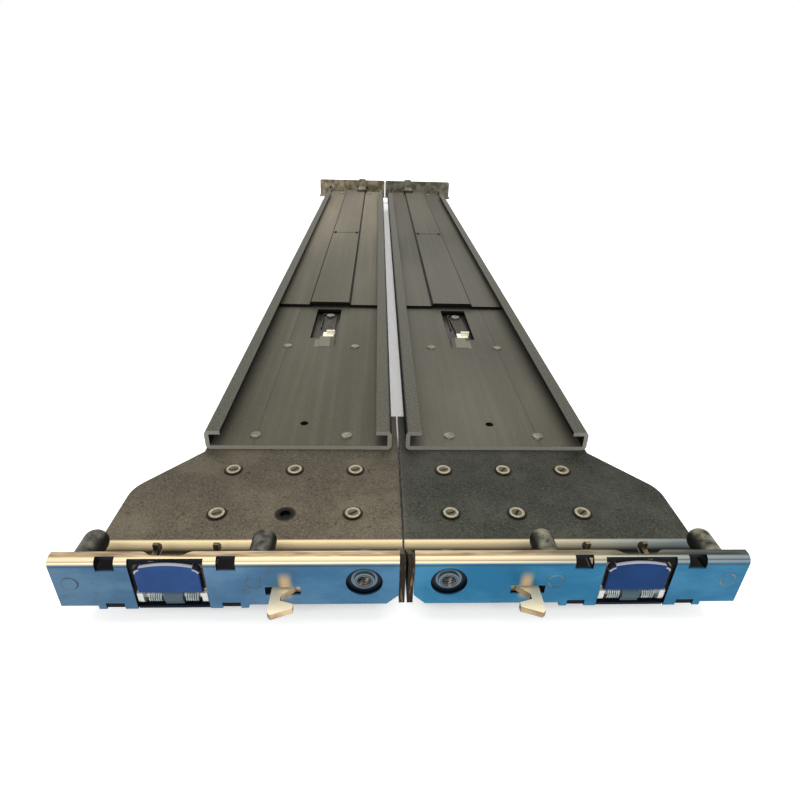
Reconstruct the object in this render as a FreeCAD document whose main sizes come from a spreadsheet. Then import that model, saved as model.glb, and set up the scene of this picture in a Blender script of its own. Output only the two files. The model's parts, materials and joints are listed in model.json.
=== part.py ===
import FreeCAD, Part

import math
import os
import re

import Sketcher

# A pair of sliding server rails for a two-unit server, lying side by side with their outboard sides up.
# Each rail is drawn once, as the right-hand one, and the left-hand one is its mirror image.
# A rail's own axes: x runs out from the plane midway between the rails, y runs back from the front face of
# its mounting flange, and z is 0 at the flange's top edge. All sizes are in millimetres.

document = FreeCAD.newDocument("ServerRailPair")
sheet = document.addObject("Spreadsheet::Sheet", "dims")

sizes = {
    # rail as a whole
    "rail_gap": (3.8, "gap between the two mounting flanges"),
    "plate_gap": (0.6, "gap between the two bracket plates"),
    "post_spacing": (631.0, "front flange face to rear flange face, closed up"),
    "rail_line": (35.0, "centre line of the slide, from the middle plane"),
    "running_gap": (0.3, "gap between pieces that slide on each other"),
    "pin_gap": (0.05, "radial gap of a piece that turns on a pin"),
    # rack holes that both ends fit
    "unit_pitch": (44.45, "one rack unit"),
    "wide_pitch": (15.875, "wide pitch between neighbouring rack holes"),
    "hole_line": (7.5, "rack hole line below the flange's top edge"),
    "outer_pin": (82.25, "outer front pin, from the middle plane"),
    # mounting flange
    "flange_width": (84.3, "mounting flange, width"),
    "flange_drop": (15.2, "mounting flange, height"),
    "flange_lug": (1.2, "lugs below the flange's bottom edge"),
    "flange_sheet": (1.0, "mounting flange, sheet thickness"),
    "flange_bend": (2.0, "mounting flange, outside bend radius"),
    "lip_depth": (3.2, "folded top lip, depth"),
    "corner_cut": (3.0, "inner bottom corner of the flange"),
    "lug_slot": (4.6, "slots beside the release window, width"),
    "slot_inset": (5.4, "slots beside the release window, centre line from its edge"),
    "lug_reach": (9.6, "lug beside the release window, length"),
    "bend_slot": (3.4, "slots through the folded bend, height"),
    "insert_place": (10.6, "screw insert, from the middle plane"),
    "insert_window": (4.6, "window round the screw insert, radius"),
    "hook_place": (30.9, "server hook slot, from the middle plane"),
    "hook_slot": (8.8, "server hook slot, length"),
    "hook_level": (10.4, "server hook slot, below the flange's top edge"),
    # release window, with its lever and button
    "window_place": (58.5, "release window, from the middle plane"),
    "window_width": (18.0, "release window, width"),
    "notch_front": (5.5, "notch in the folded lip, width at its front"),
    "notch_bridge": (0.8, "what the notch leaves of the folded lip"),
    "notch_curve": (2.6, "curves of the notch, radius"),
    "notch_back": (13.7, "notch in the folded lip, width at its back"),
    "hinge_depth": (2.4, "hinge pin, behind the flange's face"),
    "hinge_level": (13.7, "hinge pin, below the flange's top edge"),
    "hinge_radius": (0.9, "hinge pin, radius"),
    "knuckle_radius": (1.9, "hinge knuckle, outside radius"),
    "knuckle_width": (4.6, "hinge knuckle, width"),
    "ear_radius": (1.95, "lever's ears round the hinge pin, radius"),
    "ear_sheet": (1.4, "lever's ears, thickness"),
    "arm_spacing": (15.875, "claw arms, centre to centre"),
    "arm_reach": (15.5, "claw arms, behind the flange's face"),
    "arm_top": (9.4, "claw arms' upper edge, below the flange's top edge"),
    "arm_bottom": (11.4, "claw arms' lower edge, below the flange's top edge"),
    "nose_rise": (1.8, "claw nose above its arm"),
    "nose_length": (2.3, "claw nose, length"),
    "hinge_overhang": (0.3, "hinge pin, beyond each ear"),
    "arm_root": (0.8, "claw arms, start of their lower edge behind the ears"),
    "arm_chamfer": (0.6, "claw arms, chamfer of their lower back corner"),
    "arm_slope": (2.4, "slanted corner between the arms and the web, length"),
    "web_crown": (2.4, "lever's cross web, below the button's crown"),
    "web_foot": (0.4, "front of the ears, start of their shoulder below the button"),
    "ear_shoulder": (0.8, "front of the ears, end of their shoulder below the button"),
    "web_sheet": (1.2, "lever's cross web, thickness"),
    "button_width": (15.8, "release button, width"),
    "button_proud": (0.2, "release button in front of the flange's face"),
    "button_thickness": (1.6, "release button, thickness"),
    "button_crown": (1.35, "top of the button's arch, below the flange's top edge"),
    "button_foot": (10.7, "bottom of the button, below the flange's top edge"),
    "button_corner": (1.2, "release button, top corner radius"),
    "button_edge": (0.5, "release button, rounding of its face"),
    "button_arch": (24.3, "radius of the button's arched top"),
    "spring_radius": (1.5, "torsion spring, radius to the middle of its wire"),
    "spring_wire": (0.4, "torsion spring, half the wire's diagonal"),
    "spring_pitch": (1.0, "torsion spring, rise of one turn"),
    "spring_side_gap": (0.35, "torsion spring, gap beside the knuckle"),
    "spring_leg": (2.4, "torsion spring, length of its legs"),
    "spring_turns": (3.0, "torsion spring, number of turns"),
    # front bracket
    "plate_width": (84.2, "bracket plate, width"),
    "plate_level": (12.0, "bracket plate, below the flange's top edge"),
    "plate_sheet": (1.5, "bracket plate, thickness"),
    "plate_length": (88.0, "bracket plate, back end behind the flange's face"),
    "shelf_level": (14.5, "stepped shelf, below the flange's top edge"),
    "shelf_end": (17.0, "stepped shelf, back end"),
    "step_run": (2.2, "step between shelf and plate, length"),
    "step_slant": (0.6, "steps, lower side of the sheet behind its upper side"),
    "bend_inside": (0.6, "steps, inner radius of their bends"),
    "bend_outside": (0.5, "steps, outer radius of their bends beyond the sheet's thickness"),
    "ear_root": (0.5, "folded ear, root inside the shelf"),
    "ear_tail": (2.5, "folded ear, back end above the shelf"),
    "ear_slope": (3.0, "folded ear, start of its slope behind the flange"),
    "ear_relief": (3.0, "relief beside the folded ear, width and distance from the step"),
    "face_sink": (0.2, "lugs and insert, behind the flange's face"),
    "overlap": (0.1, "small overlap or play between neighbouring forms"),
    "taper_start": (43.0, "outer edge of the plate, back end of its straight run"),
    "taper_end": (63.5, "slanted edge of the plate, back end"),
    "taper_round": (11.0, "corner of the slanted edge, radius"),
    "ear_height": (12.5, "folded ear on the plate's inner front corner, height"),
    "well_depth": (6.5, "opening in the shelf under the lever, back end"),
    "well_sheet": (0.8, "cover under the lever's well, thickness"),
    "well_rim": (1.5, "cover under the lever's well, beyond its edges"),
    "well_lip": (0.4, "cover's front edge, in front of the flange's back face"),
    "plate_rivet_pitch": (20.2, "plate rivets, spacing across the rail"),
    "plate_rivet_front": (30.8, "plate rivets, front row"),
    "plate_rivet_back": (52.6, "plate rivets, back row"),
    "rivet_radius": (2.5, "rivet heads, radius"),
    "rivet_shank": (1.5, "rivet shanks, radius"),
    "rivet_head": (0.7, "rivet heads, height"),
    # locating pins
    "pin_radius": (3.25, "locating pins, radius"),
    "pin_collar": (3.9, "locating pins, collar radius"),
    "pin_collar_length": (1.6, "locating pins, collar length"),
    "pin_length": (17.5, "locating pins, behind the flange's face"),
    "pin_dome": (2.6, "locating pins, length of the domed tip"),
    "pin_nose": (1.25, "locating pins, radius of the flat at the tip"),
    "pin_stub": (2.2, "swaged end of a locating pin, radius"),
    # screw insert and server hook
    "insert_radius": (2.7, "screw insert, nose radius"),
    "insert_base": (5.4, "screw insert, base radius"),
    "insert_sheet": (1.4, "screw insert, base thickness"),
    "insert_length": (8.0, "screw insert, behind the flange's face"),
    "insert_chamfer": (0.4, "screw insert, chamfer of its nose"),
    "insert_body": (0.6, "screw insert, body's radius beyond its nose"),
    "thread_radius": (1.65, "screw insert, thread's core radius"),
    "hook_sheet": (1.8, "server hook, thickness"),
    "hook_reach": (8.0, "server hook, in front of the flange"),
    "hook_stem": (2.6, "server hook, stem width"),
    "hook_barb": (3.3, "server hook, barb beyond its stem"),
    "hook_window": (1.4, "server hook's slot, half its height"),
    "hook_shift": (1.4, "server hook, stem beside the middle of its slot"),
    "hook_side": (1.3, "server hook, edge inside the slot"),
    "hook_root": (0.6, "server hook, end of its root behind the flange's face"),
    "hook_bend": (2.2, "server hook, start of its stem in front of the flange"),
    "barb_back": (4.2, "server hook's barb, back end behind the tip"),
    "barb_corner": (3.2, "server hook's barb, upper corner behind the tip"),
    "barb_front": (1.9, "server hook's barb, lower corner behind the tip"),
    "hook_chamfer": (0.8, "server hook, chamfer of its tip"),
    "hook_foot": (1.4, "server hook, thickness of its foot"),
    "foot_left": (1.0, "server hook's foot, beyond the slot"),
    "foot_right": (1.7, "server hook's foot, short of the slot's end"),
    # front channel
    "channel_width": (65.0, "front channel, width"),
    "channel_height": (7.5, "front channel, height"),
    "channel_sheet": (1.5, "front channel, thickness"),
    "channel_lip": (5.5, "front channel, lips from its outer face"),
    "channel_start": (65.0, "front channel, front end"),
    "channel_length": (512.0, "front channel, length"),
    "channel_bend": (1.6, "front channel, outside bend radius"),
    "web_rivet_pitch": (32.6, "web rivets, spacing across the rail"),
    "web_rivet_front": (71.5, "web rivets, first row"),
    "web_rivet_second": (151.5, "web rivets, second row"),
    "web_rivet_last": (540.0, "web rivets, last row"),
    "web_rivet_radius": (1.9, "web rivets, head radius"),
    "web_rivet_head": (0.5, "web rivets, head height"),
    "web_shoulder": (3.0, "web rivets, shoulder radius between slide and channel"),
    "gauge_hole": (80.0, "gauge hole in the channel's web, place"),
    "gauge_radius": (1.5, "gauge hole, radius"),
    "latch_window_start": (162.0, "window over the latch, front end"),
    "latch_window_length": (42.0, "window over the latch, length"),
    "latch_window_width": (13.4, "window over the latch, width"),
    "stop_tab_start": (150.0, "stop tab in front of the window, front end"),
    "stop_tab_length": (10.0, "stop tab, length"),
    "stop_tab_rise": (1.8, "stop tab, height above the web"),
    "stop_tab_side": (6.0, "stop tab, edge beside the rail's middle line"),
    "stop_tab_width": (7.5, "stop tab, width"),
    # slide latch
    "latch_sheet": (1.0, "latch lever, thickness"),
    "latch_width": (7.0, "latch lever, width"),
    "latch_pivot_place": (197.0, "latch lever, pivot"),
    "latch_tab_place": (171.5, "latch lever's finger tab, place"),
    "latch_tab_side": (3.0, "latch lever's finger tab, beside the centre line"),
    "latch_tab_size": (4.3, "latch lever's finger tab, width"),
    "latch_pivot_side": (1.0, "latch lever's pivot, beside the centre line"),
    "latch_tab_rise": (2.2, "latch lever's finger tab, height"),
    "latch_lift": (0.2, "slide latch, gap over the slide"),
    "latch_nose": (5.0, "slide latch, nose in front of its tab"),
    "latch_corner": (2.0, "slide latch, cut corners at its tail, width"),
    "latch_tail": (3.5, "slide latch, tail behind its pivot"),
    "latch_waist": (1.5, "slide latch, narrowing at its nose"),
    "latch_waist_end": (6.0, "slide latch, back end of the narrowing behind its tab"),
    "latch_head_gap": (0.4, "latch pivot, underside of its head above the lever's thickness"),
    "latch_head": (0.8, "latch pivot, height of its head"),
    "leaf_sheet": (0.5, "leaf spring, thickness"),
    "leaf_height": (1.2, "leaf spring, height"),
    "leaf_length": (16.0, "leaf spring, front end before the latch's pivot"),
    "leaf_bend": (3.0, "leaf spring, start of its toe behind the latch's pivot"),
    "leaf_end": (5.0, "leaf spring, back end behind the latch's pivot"),
    "leaf_toe": (2.0, "leaf spring, width of its toe"),
    "latch_pivot_radius": (1.2, "latch pivot, radius"),
    # rear channel
    "rear_start": (207.0, "rear channel, front end"),
    "rear_channel_gap": (19.0, "rear channel, back end in front of the rear flange's face"),
    "rear_wall": (3.9, "rear channel, height"),
    "rib_width": (23.0, "raised rib along the rear channel, width"),
    "rib_rise": (1.6, "raised rib, height"),
    "rib_slope": (1.2, "raised rib, width of its slanted sides"),
    "rib_spread": (0.4, "rib, foot of its upper side beyond its lower side"),
    "lance_place": (384.0, "lanced mark across the rib, place"),
    "lance_width": (18.7, "lanced mark, width"),
    "lance_length": (7.0, "lanced mark, length of its two ends"),
    "lance_slot": (1.2, "lanced mark, width of its slots"),
    # rear bracket
    "rear_flange_width": (79.0, "rear flange, width"),
    "rear_flange_inner": (0.4, "rear flange, inner edge from the middle plane"),
    "rear_flange_rise": (1.8, "rear flange above the front flange's top edge"),
    "rear_base_reach": (45.0, "rear bracket, front end in front of its flange's face"),
    "rear_rivet_inset": (9.0, "rear rivets behind the bracket's front end"),
    "rear_base_inset": (6.0, "rear bracket's base, inset from the channel's edges"),
    "rear_step_gap": (19.0, "rear bracket, start of its step in front of its flange's face"),
    "rear_step_stretch": (1.8, "rear bracket's step, length over the front one's"),
    "rear_pin_reach": (17.5, "rear pins behind the rear flange"),
    "rear_latch_place": (27.8, "rear latch, from the middle plane"),
    "rear_latch_width": (7.6, "rear latch, width"),
    "rear_latch_sheet": (1.2, "rear latch, thickness"),
    "rear_latch_reach": (27.0, "rear latch, pivot in front of the rear flange's face"),
    "pivot_radius": (0.75, "rear latch, cross pin radius"),
    "pivot_knuckle": (1.6, "rear latch, knuckle radius"),
    "pivot_rise": (1.9, "rear latch, cross pin above the rib"),
    "pivot_ear": (1.0, "ears round the rear latch, thickness"),
    "pivot_ear_radius": (2.2, "ears round the rear latch, radius"),
    "pivot_end": (0.3, "cross pin, ends beyond the ears"),
    "rear_latch_nose": (4.0, "rear latch, nose behind the rear flange"),
    "rear_latch_crown": (3.2, "rear latch, top above the front flange's top edge"),
    # ball-bearing slide under each rail
    "slide_width": (46.0, "outer slide member, width"),
    "slide_depth": (23.0, "server-side face of the slide, below the flange's top edge"),
    "slide_start": (22.0, "outer slide member, front end"),
    "slide_length": (552.0, "outer slide member, length"),
    "slide_sheet": (1.3, "slide members, sheet thickness"),
    "lip_recess": (0.4, "outer member's lips behind the server-side face"),
    "ball_radius": (1.5, "balls, radius"),
    "ball_gap": (0.1, "gap between a ball and its raceway"),
    "race_depth": (0.6, "raceways, depth"),
    "ball_level": (20.3, "balls, below the flange's top edge"),
    "middle_level": (16.9, "middle member's web, below the flange's top edge"),
    "middle_sheet": (1.1, "middle member's web, thickness"),
    "middle_wall": (2.2, "middle member's walls, thickness"),
    "middle_length": (546.0, "middle member, length"),
    "inner_wall_top": (18.9, "inner member's walls, below the flange's top edge"),
    "inner_wall": (1.6, "inner member's walls, thickness"),
    "inner_sheet": (1.1, "inner member's web, thickness"),
    "inner_length": (546.0, "inner member, length"),
    "cage_gap": (0.15, "gap between a ball and its window in the cage"),
    "cage_sheet": (0.4, "ball cages, strip thickness"),
    "outer_cage_start": (172.0, "outer ball cage, front end"),
    "inner_cage_start": (186.0, "inner ball cage, front end"),
    "cage_length": (210.0, "ball cages, length"),
    "ball_pitch": (93.0, "balls, spacing along a cage"),
    "cage_edge": (12.0, "first ball from the end of its cage"),
    "outer_cage_lift": (0.2, "outer cage's feet, above the middle slide's underside"),
    "inner_cage_lift": (0.9, "inner cage's feet, above the inner slide's face"),
    "buffer_length": (4.0, "end buffer, length"),
    "server_hole": (2.2, "holes for the server's screws, radius"),
    "server_hole_first": (60.0, "first hole for a server's screw, place"),
    "server_hole_pitch": (220.0, "holes for the server's screws, spacing"),
}
balls_in_row = 3
server_holes = 3
web_rivet_rows = ("web_rivet_front", "web_rivet_second", "web_rivet_last")

# Places that several pieces share, worked out from the sizes above.
places = {
    "flange_left": "rail_gap / 2",
    "flange_right": "flange_left + flange_width",
    "flange_bottom": "0 - flange_drop - flange_lug",
    "plate_left": "plate_gap / 2",
    "plate_right": "plate_left + plate_width",
    "plate_top": "0 - plate_level",
    "plate_bottom": "plate_top - plate_sheet",
    "shelf_top": "0 - shelf_level",
    "shelf_bottom": "shelf_top - plate_sheet",
    "pin_level": "0 - hole_line",
    "inner_pin": "outer_pin - unit_pitch",
    "rear_pin_outer": "outer_pin - wide_pitch",
    "rear_pin_inner": "rear_pin_outer - unit_pitch",
    "window_left": "window_place - window_width / 2",
    "window_right": "window_place + window_width / 2",
    "hinge_top": "0 - hinge_level",
    "arm_left": "window_place - arm_spacing / 2",
    "arm_right": "window_place + arm_spacing / 2",
    "web_front": "button_thickness - button_proud",
    "web_back": "web_front + web_sheet",
    "slot_inner": "window_left - slot_inset",
    "slot_outer": "window_right + slot_inset",
    "channel_left": "rail_line - channel_width / 2",
    "channel_right": "rail_line + channel_width / 2",
    "channel_web_top": "plate_top + channel_sheet",
    "channel_top": "plate_top + channel_height",
    "rear_left": "channel_left + channel_sheet + running_gap",
    "rear_right": "channel_right - channel_sheet - running_gap",
    "rear_bottom": "channel_web_top + running_gap",
    "rear_web_top": "rear_bottom + channel_sheet",
    "rear_top": "rear_bottom + rear_wall",
    "rear_face": "post_spacing",
    "rear_channel_end": "rear_face - rear_channel_gap",
    "rear_base_start": "rear_face - rear_base_reach",
    "rear_step_place": "rear_face - rear_step_gap",
    "rear_latch_pivot": "rear_face - rear_latch_reach",
    "pivot_level": "rear_web_top + rib_rise + pivot_rise",
    "pivot_inner": "rear_latch_place - rear_latch_width / 2 - running_gap - pivot_ear",
    "pivot_outer": "rear_latch_place + rear_latch_width / 2 + running_gap",
    "rear_flange_front": "rear_face - plate_sheet",
    "rear_base_top": "rear_bottom",
    "rear_base_bottom": "rear_bottom - plate_sheet",
    "slide_top": "plate_bottom",
    "slide_face": "0 - slide_depth",
    "ball_centre": "0 - ball_level",
    "race_radius": "ball_radius + ball_gap",
    "race_land": "race_radius - race_depth",
    "race_half": "sqrt(race_radius ^ 2 - race_land ^ 2)",
    "outer_ball": "slide_width / 2 - slide_sheet - race_radius",
    "outer_inside": "outer_ball + race_land",
    "middle_outside": "outer_ball - race_land",
    "middle_inside": "middle_outside - middle_wall",
    "inner_ball": "middle_inside - race_land",
    "inner_outside": "inner_ball - race_land",
    "back_radius": "race_radius + slide_sheet",
    "back_half": "sqrt(back_radius ^ 2 - (race_land + slide_sheet) ^ 2)",
    "lip_bottom": "slide_face + lip_recess",
    "middle_top": "0 - middle_level",
    "middle_floor": "middle_top - middle_sheet",
    "middle_bottom": "lip_bottom + lip_recess",
    "inner_top": "0 - inner_wall_top",
    "outer_bridge": "(slide_top - slide_sheet + middle_top) / 2",
    "inner_bridge": "(middle_floor + inner_top) / 2",
    "latch_bottom": "slide_top + latch_lift",
    "outer_cage_foot": "middle_bottom + outer_cage_lift",
    "inner_cage_foot": "slide_face + inner_cage_lift",
    "latch_top": "latch_bottom + latch_sheet",
    "face_y": "(hook_reach - post_spacing - rear_pin_reach) / 2",
    "top_z": "slide_depth",
}

row = 1
for alias, (value, note) in sizes.items():
    sheet.set(f"A{row}", note)
    sheet.set(f"B{row}", str(value))
    sheet.setAlias(f"B{row}", alias)
    row += 1
document.recompute()


def link(text):
    """Writes a formula over the names above as an expression on the spreadsheet's cells."""

    def spell(match):
        word = match.group(0)
        if word in places:
            return "(" + link(places[word]) + ")"
        return "dims." + word if word in sizes else word

    return re.sub(r"[a-z][a-z0-9_]*", spell, str(text))


def value_of(text):
    return float(sheet.evalExpression(link(text)))


def bind(target, prop, text):
    target.setExpression(prop, link(text))


# How each drawing plane lies: its name in the body's origin, the sign that carries a place along the axis
# to the plane's own normal, and the axis that it leaves out.
planes = {"top": ("XY_Plane", 1, 2), "front": ("XZ_Plane", -1, 1), "side": ("YZ_Plane", 1, 0)}


def new_body(label):
    body = document.addObject("PartDesign::Body", label)
    body.Label = label
    body.AllowCompound = True
    bind(body, "Placement.Base.y", "face_y")
    bind(body, "Placement.Base.z", "top_z")
    return body


def new_sketch(body, name, plane, start):
    """A sketch on one of the body's origin planes, carried along the plane's axis to start."""
    role, sign, _ = planes[plane]
    sketch = body.newObject("Sketcher::SketchObject", name)
    sketch.AttachmentSupport = [(next(f for f in body.Origin.OriginFeatures if f.Role == role), "")]
    sketch.MapMode = "FlatFace"
    bind(sketch, "AttachmentOffset.Base.z", start if sign > 0 else f"0 - ({start})")
    return sketch


def fix(sketch, geometry, end, across, up):
    """Holds one point of a sketch at two formulas, measured from the sketch's origin."""
    for kind, text in (("DistanceX", across), ("DistanceY", up)):
        held = Sketcher.Constraint(kind, -1, 1, geometry, end, value_of(text))
        number = sketch.addConstraint(held)
        sketch.setExpression(f"Constraints[{number}]", link(text))


def draw_loop(sketch, corners):
    """A closed outline. A corner is (across, up), or (across, up, radius, turn) where an arc follows it."""
    points = [(value_of(c[0]), value_of(c[1])) for c in corners]
    first = sketch.GeometryCount
    ends = []
    for i, corner in enumerate(corners):
        start = FreeCAD.Vector(*points[i], 0)
        stop = FreeCAD.Vector(*points[(i + 1) % len(points)], 0)
        if len(corner) == 2:
            sketch.addGeometry(Part.LineSegment(start, stop), False)
            ends.append((1, 2))
            continue
        radius = value_of(corner[2])
        left = corner[3] == "left"
        chord = stop - start
        normal = FreeCAD.Vector(-chord.y, chord.x, 0).normalize() * (1 if left else -1)
        centre = (start + stop) * 0.5 + normal * math.sqrt(max(radius**2 - chord.Length**2 / 4, 0.0))
        angles = [math.atan2(p.y - centre.y, p.x - centre.x) for p in (start, stop)]
        if not left:
            angles.reverse()
        if angles[1] < angles[0]:
            angles[1] += 2 * math.pi
        circle = Part.Circle(centre, FreeCAD.Vector(0, 0, 1), radius)
        sketch.addGeometry(Part.ArcOfCircle(circle, *angles), False)
        ends.append((1, 2) if left else (2, 1))
    for i, corner in enumerate(corners):
        after = (i + 1) % len(corners)
        sketch.addConstraint(
            Sketcher.Constraint("Coincident", first + i, ends[i][1], first + after, ends[after][0])
        )
        fix(sketch, first + i, ends[i][0], corner[0], corner[1])
        if len(corner) == 4:
            number = sketch.addConstraint(Sketcher.Constraint("Radius", first + i, value_of(corner[2])))
            sketch.setExpression(f"Constraints[{number}]", link(corner[2]))


def draw_circle(sketch, across, up, radius):
    centre = FreeCAD.Vector(value_of(across), value_of(up), 0)
    circle = Part.Circle(centre, FreeCAD.Vector(0, 0, 1), value_of(radius))
    number = sketch.addGeometry(circle, False)
    fix(sketch, number, 3, across, up)
    held = sketch.addConstraint(Sketcher.Constraint("Radius", number, value_of(radius)))
    sketch.setExpression(f"Constraints[{held}]", link(radius))


def box_loop(across, across_end, up, up_end):
    return [(across, up), (across_end, up), (across_end, up_end), (across, up_end)]


def grow(body, name, plane, start, depth, loops=(), circles=()):
    """Pads outlines on a plane, from start along the axis that the plane leaves out."""
    sketch = new_sketch(body, name + "_sketch", plane, start)
    for corners in loops:
        draw_loop(sketch, corners)
    for circle in circles:
        draw_circle(sketch, *circle)
    pad = body.newObject("PartDesign::Pad", name)
    pad.Profile = sketch
    bind(pad, "Length", depth)
    pad.Reversed = plane == "front"
    sketch.Visibility = False
    document.recompute()
    return pad


def cut(body, name, plane, start, depth, loops=(), circles=()):
    """Pockets outlines out of a body, from start along the axis, and makes sure that something went."""
    before = body.Tip.Shape.Volume
    sketch = new_sketch(body, name + "_sketch", plane, start)
    for corners in loops:
        draw_loop(sketch, corners)
    for circle in circles:
        draw_circle(sketch, *circle)
    pocket = body.newObject("PartDesign::Pocket", name)
    pocket.Profile = sketch
    bind(pocket, "Length", depth)
    pocket.Reversed = plane != "front"
    sketch.Visibility = False
    document.recompute()
    if not pocket.Shape.Volume < before - 1e-6:
        raise RuntimeError(f"{body.Label}: {name} cut nothing")
    return pocket


def edges_along(body, axis, spots):
    """Names of the straight edges that run along an axis (0, 1 or 2) through the given spots."""
    others = [i for i in range(3) if i != axis]
    wanted = [[value_of(text) for text in spot] for spot in spots]
    names = []
    for number, edge in enumerate(body.Tip.Shape.Edges, 1):
        if not isinstance(edge.Curve, Part.Line) or abs(edge.Curve.Direction[axis]) < 0.999:
            continue
        middle = edge.CenterOfMass
        for spot in wanted:
            if all(abs(middle[others[k]] - spot[k]) < 0.01 for k in range(2)):
                names.append(f"Edge{number}")
    if len(names) < len(spots):
        raise RuntimeError(f"{body.Label}: an edge to round is missing")
    return names


def soften(body, name, kind, radius, edges):
    """Rounds (Fillet) or bevels (Chamfer) the named edges of a body."""
    base = body.Tip
    feature = body.newObject("PartDesign::" + kind, name)
    feature.Base = (base, edges)
    bind(feature, "Radius" if kind == "Fillet" else "Size", radius)
    document.recompute()
    return feature


def turned(body, name, outlines, across, up):
    """Solids of revolution about a line along y at (across, up); an outline's corners are (radius, y)."""
    sketch = new_sketch(body, name + "_sketch", "top", up)
    for corners in outlines:
        draw_loop(sketch, [(f"{across} + ({c[0]})", *c[1:]) for c in corners])
    line = sketch.addGeometry(
        Part.LineSegment(
            FreeCAD.Vector(value_of(across), -10, 0), FreeCAD.Vector(value_of(across), 10, 0)
        ),
        True,
    )
    fix(sketch, line, 1, across, "0 - 10")
    fix(sketch, line, 2, across, "10")
    spin = body.newObject("PartDesign::Revolution", name)
    spin.Profile = sketch
    spin.ReferenceAxis = (sketch, ["Axis0"])
    spin.Angle = 360
    sketch.Visibility = False
    document.recompute()
    return spin


# --- Mounting flange -------------------------------------------------------------------------------------


def mounting_flange():
    """Front flange with its folded top lip, release window, pin holes, hook slot and insert window."""
    body = new_body("right_mounting_flange")
    sheet_in = "0 - flange_sheet"
    profile = [
        ("0", "flange_bottom"),
        ("0", "0"),
        ("lip_depth", "0"),
        ("lip_depth", sheet_in),
        ("flange_sheet", sheet_in),
        ("flange_sheet", "flange_bottom"),
    ]
    profile.reverse()
    grow(body, "sheet", "side", "flange_left", "flange_width", [profile])
    soften(body, "bend", "Fillet", "flange_bend", edges_along(body, 0, [("0", "0")]))
    soften(
        body, "bend_inside", "Fillet", "flange_bend - flange_sheet",
        edges_along(body, 0, [("flange_sheet", sheet_in)]),
    )
    bottom = "flange_bottom - 1"
    straight = "0 - flange_drop"
    raised = [
        box_loop("flange_left - 1", "window_left - lug_reach", bottom, straight),
        box_loop("window_right + lug_reach", "flange_right + 1", bottom, straight),
    ]
    cut(body, "bottom_edge", "front", "0 - 1", "flange_sheet + 2", raised)
    corner = [
        ("flange_left - 1", "0 - flange_drop - 1"),
        ("flange_left + corner_cut + 1", "0 - flange_drop - 1"),
        ("flange_left - 1", "0 - flange_drop + corner_cut + 1"),
    ]
    cut(body, "inner_corner", "front", "0 - 1", "flange_sheet + 2", [corner])
    window = box_loop("window_left", "window_right", bottom, "1")
    cut(body, "release_window", "front", "0 - 1", "flange_sheet + 1", [window])
    under_bridge = box_loop("window_left", "window_right", bottom, "0 - flange_sheet")
    cut(body, "bend_behind_window", "front", "0", "flange_bend", [under_bridge])
    bridge = "flange_sheet + notch_bridge"
    halfway = f"({bridge} + lip_depth) / 2"
    quarter = "(notch_front + notch_back) / 4"
    notch = [
        ("window_place - notch_front / 2", bridge),
        ("window_place + notch_front / 2", bridge, "notch_curve", "left"),
        (f"window_place + {quarter}", halfway, "notch_curve", "right"),
        ("window_place + notch_back / 2", "lip_depth"),
        ("window_place + notch_back / 2", "lip_depth + 1"),
        ("window_place - notch_back / 2", "lip_depth + 1"),
        ("window_place - notch_back / 2", "lip_depth", "notch_curve", "right"),
        (f"window_place - {quarter}", halfway, "notch_curve", "left"),
    ]
    cut(body, "lip_notch", "top", "0 - flange_bend", "flange_bend + 1", [notch])
    holes = [(place, "pin_level", "pin_stub") for place in ("outer_pin", "inner_pin")]
    holes.append(("insert_place", "pin_level", "insert_window"))
    hook = box_loop(
        "hook_place - hook_slot / 2", "hook_place + hook_slot / 2",
        "0 - hook_level - hook_window", "0 - hook_level + hook_window",
    )
    cut(body, "holes", "front", "0 - 1", "flange_sheet + 2", [hook], holes)
    slots = []
    for place in ("slot_inner", "slot_outer"):
        ends = (f"{place} - lug_slot / 2", f"{place} + lug_slot / 2")
        slots.append(box_loop(*ends, "0 - bend_slot", "1"))
        slots.append(box_loop(*ends, bottom, "shelf_top + overlap"))
    cut(body, "slots", "front", "0 - 1", "flange_sheet + 1 + bend_inside", slots)
    return body


# --- Front bracket ---------------------------------------------------------------------------------------


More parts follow.
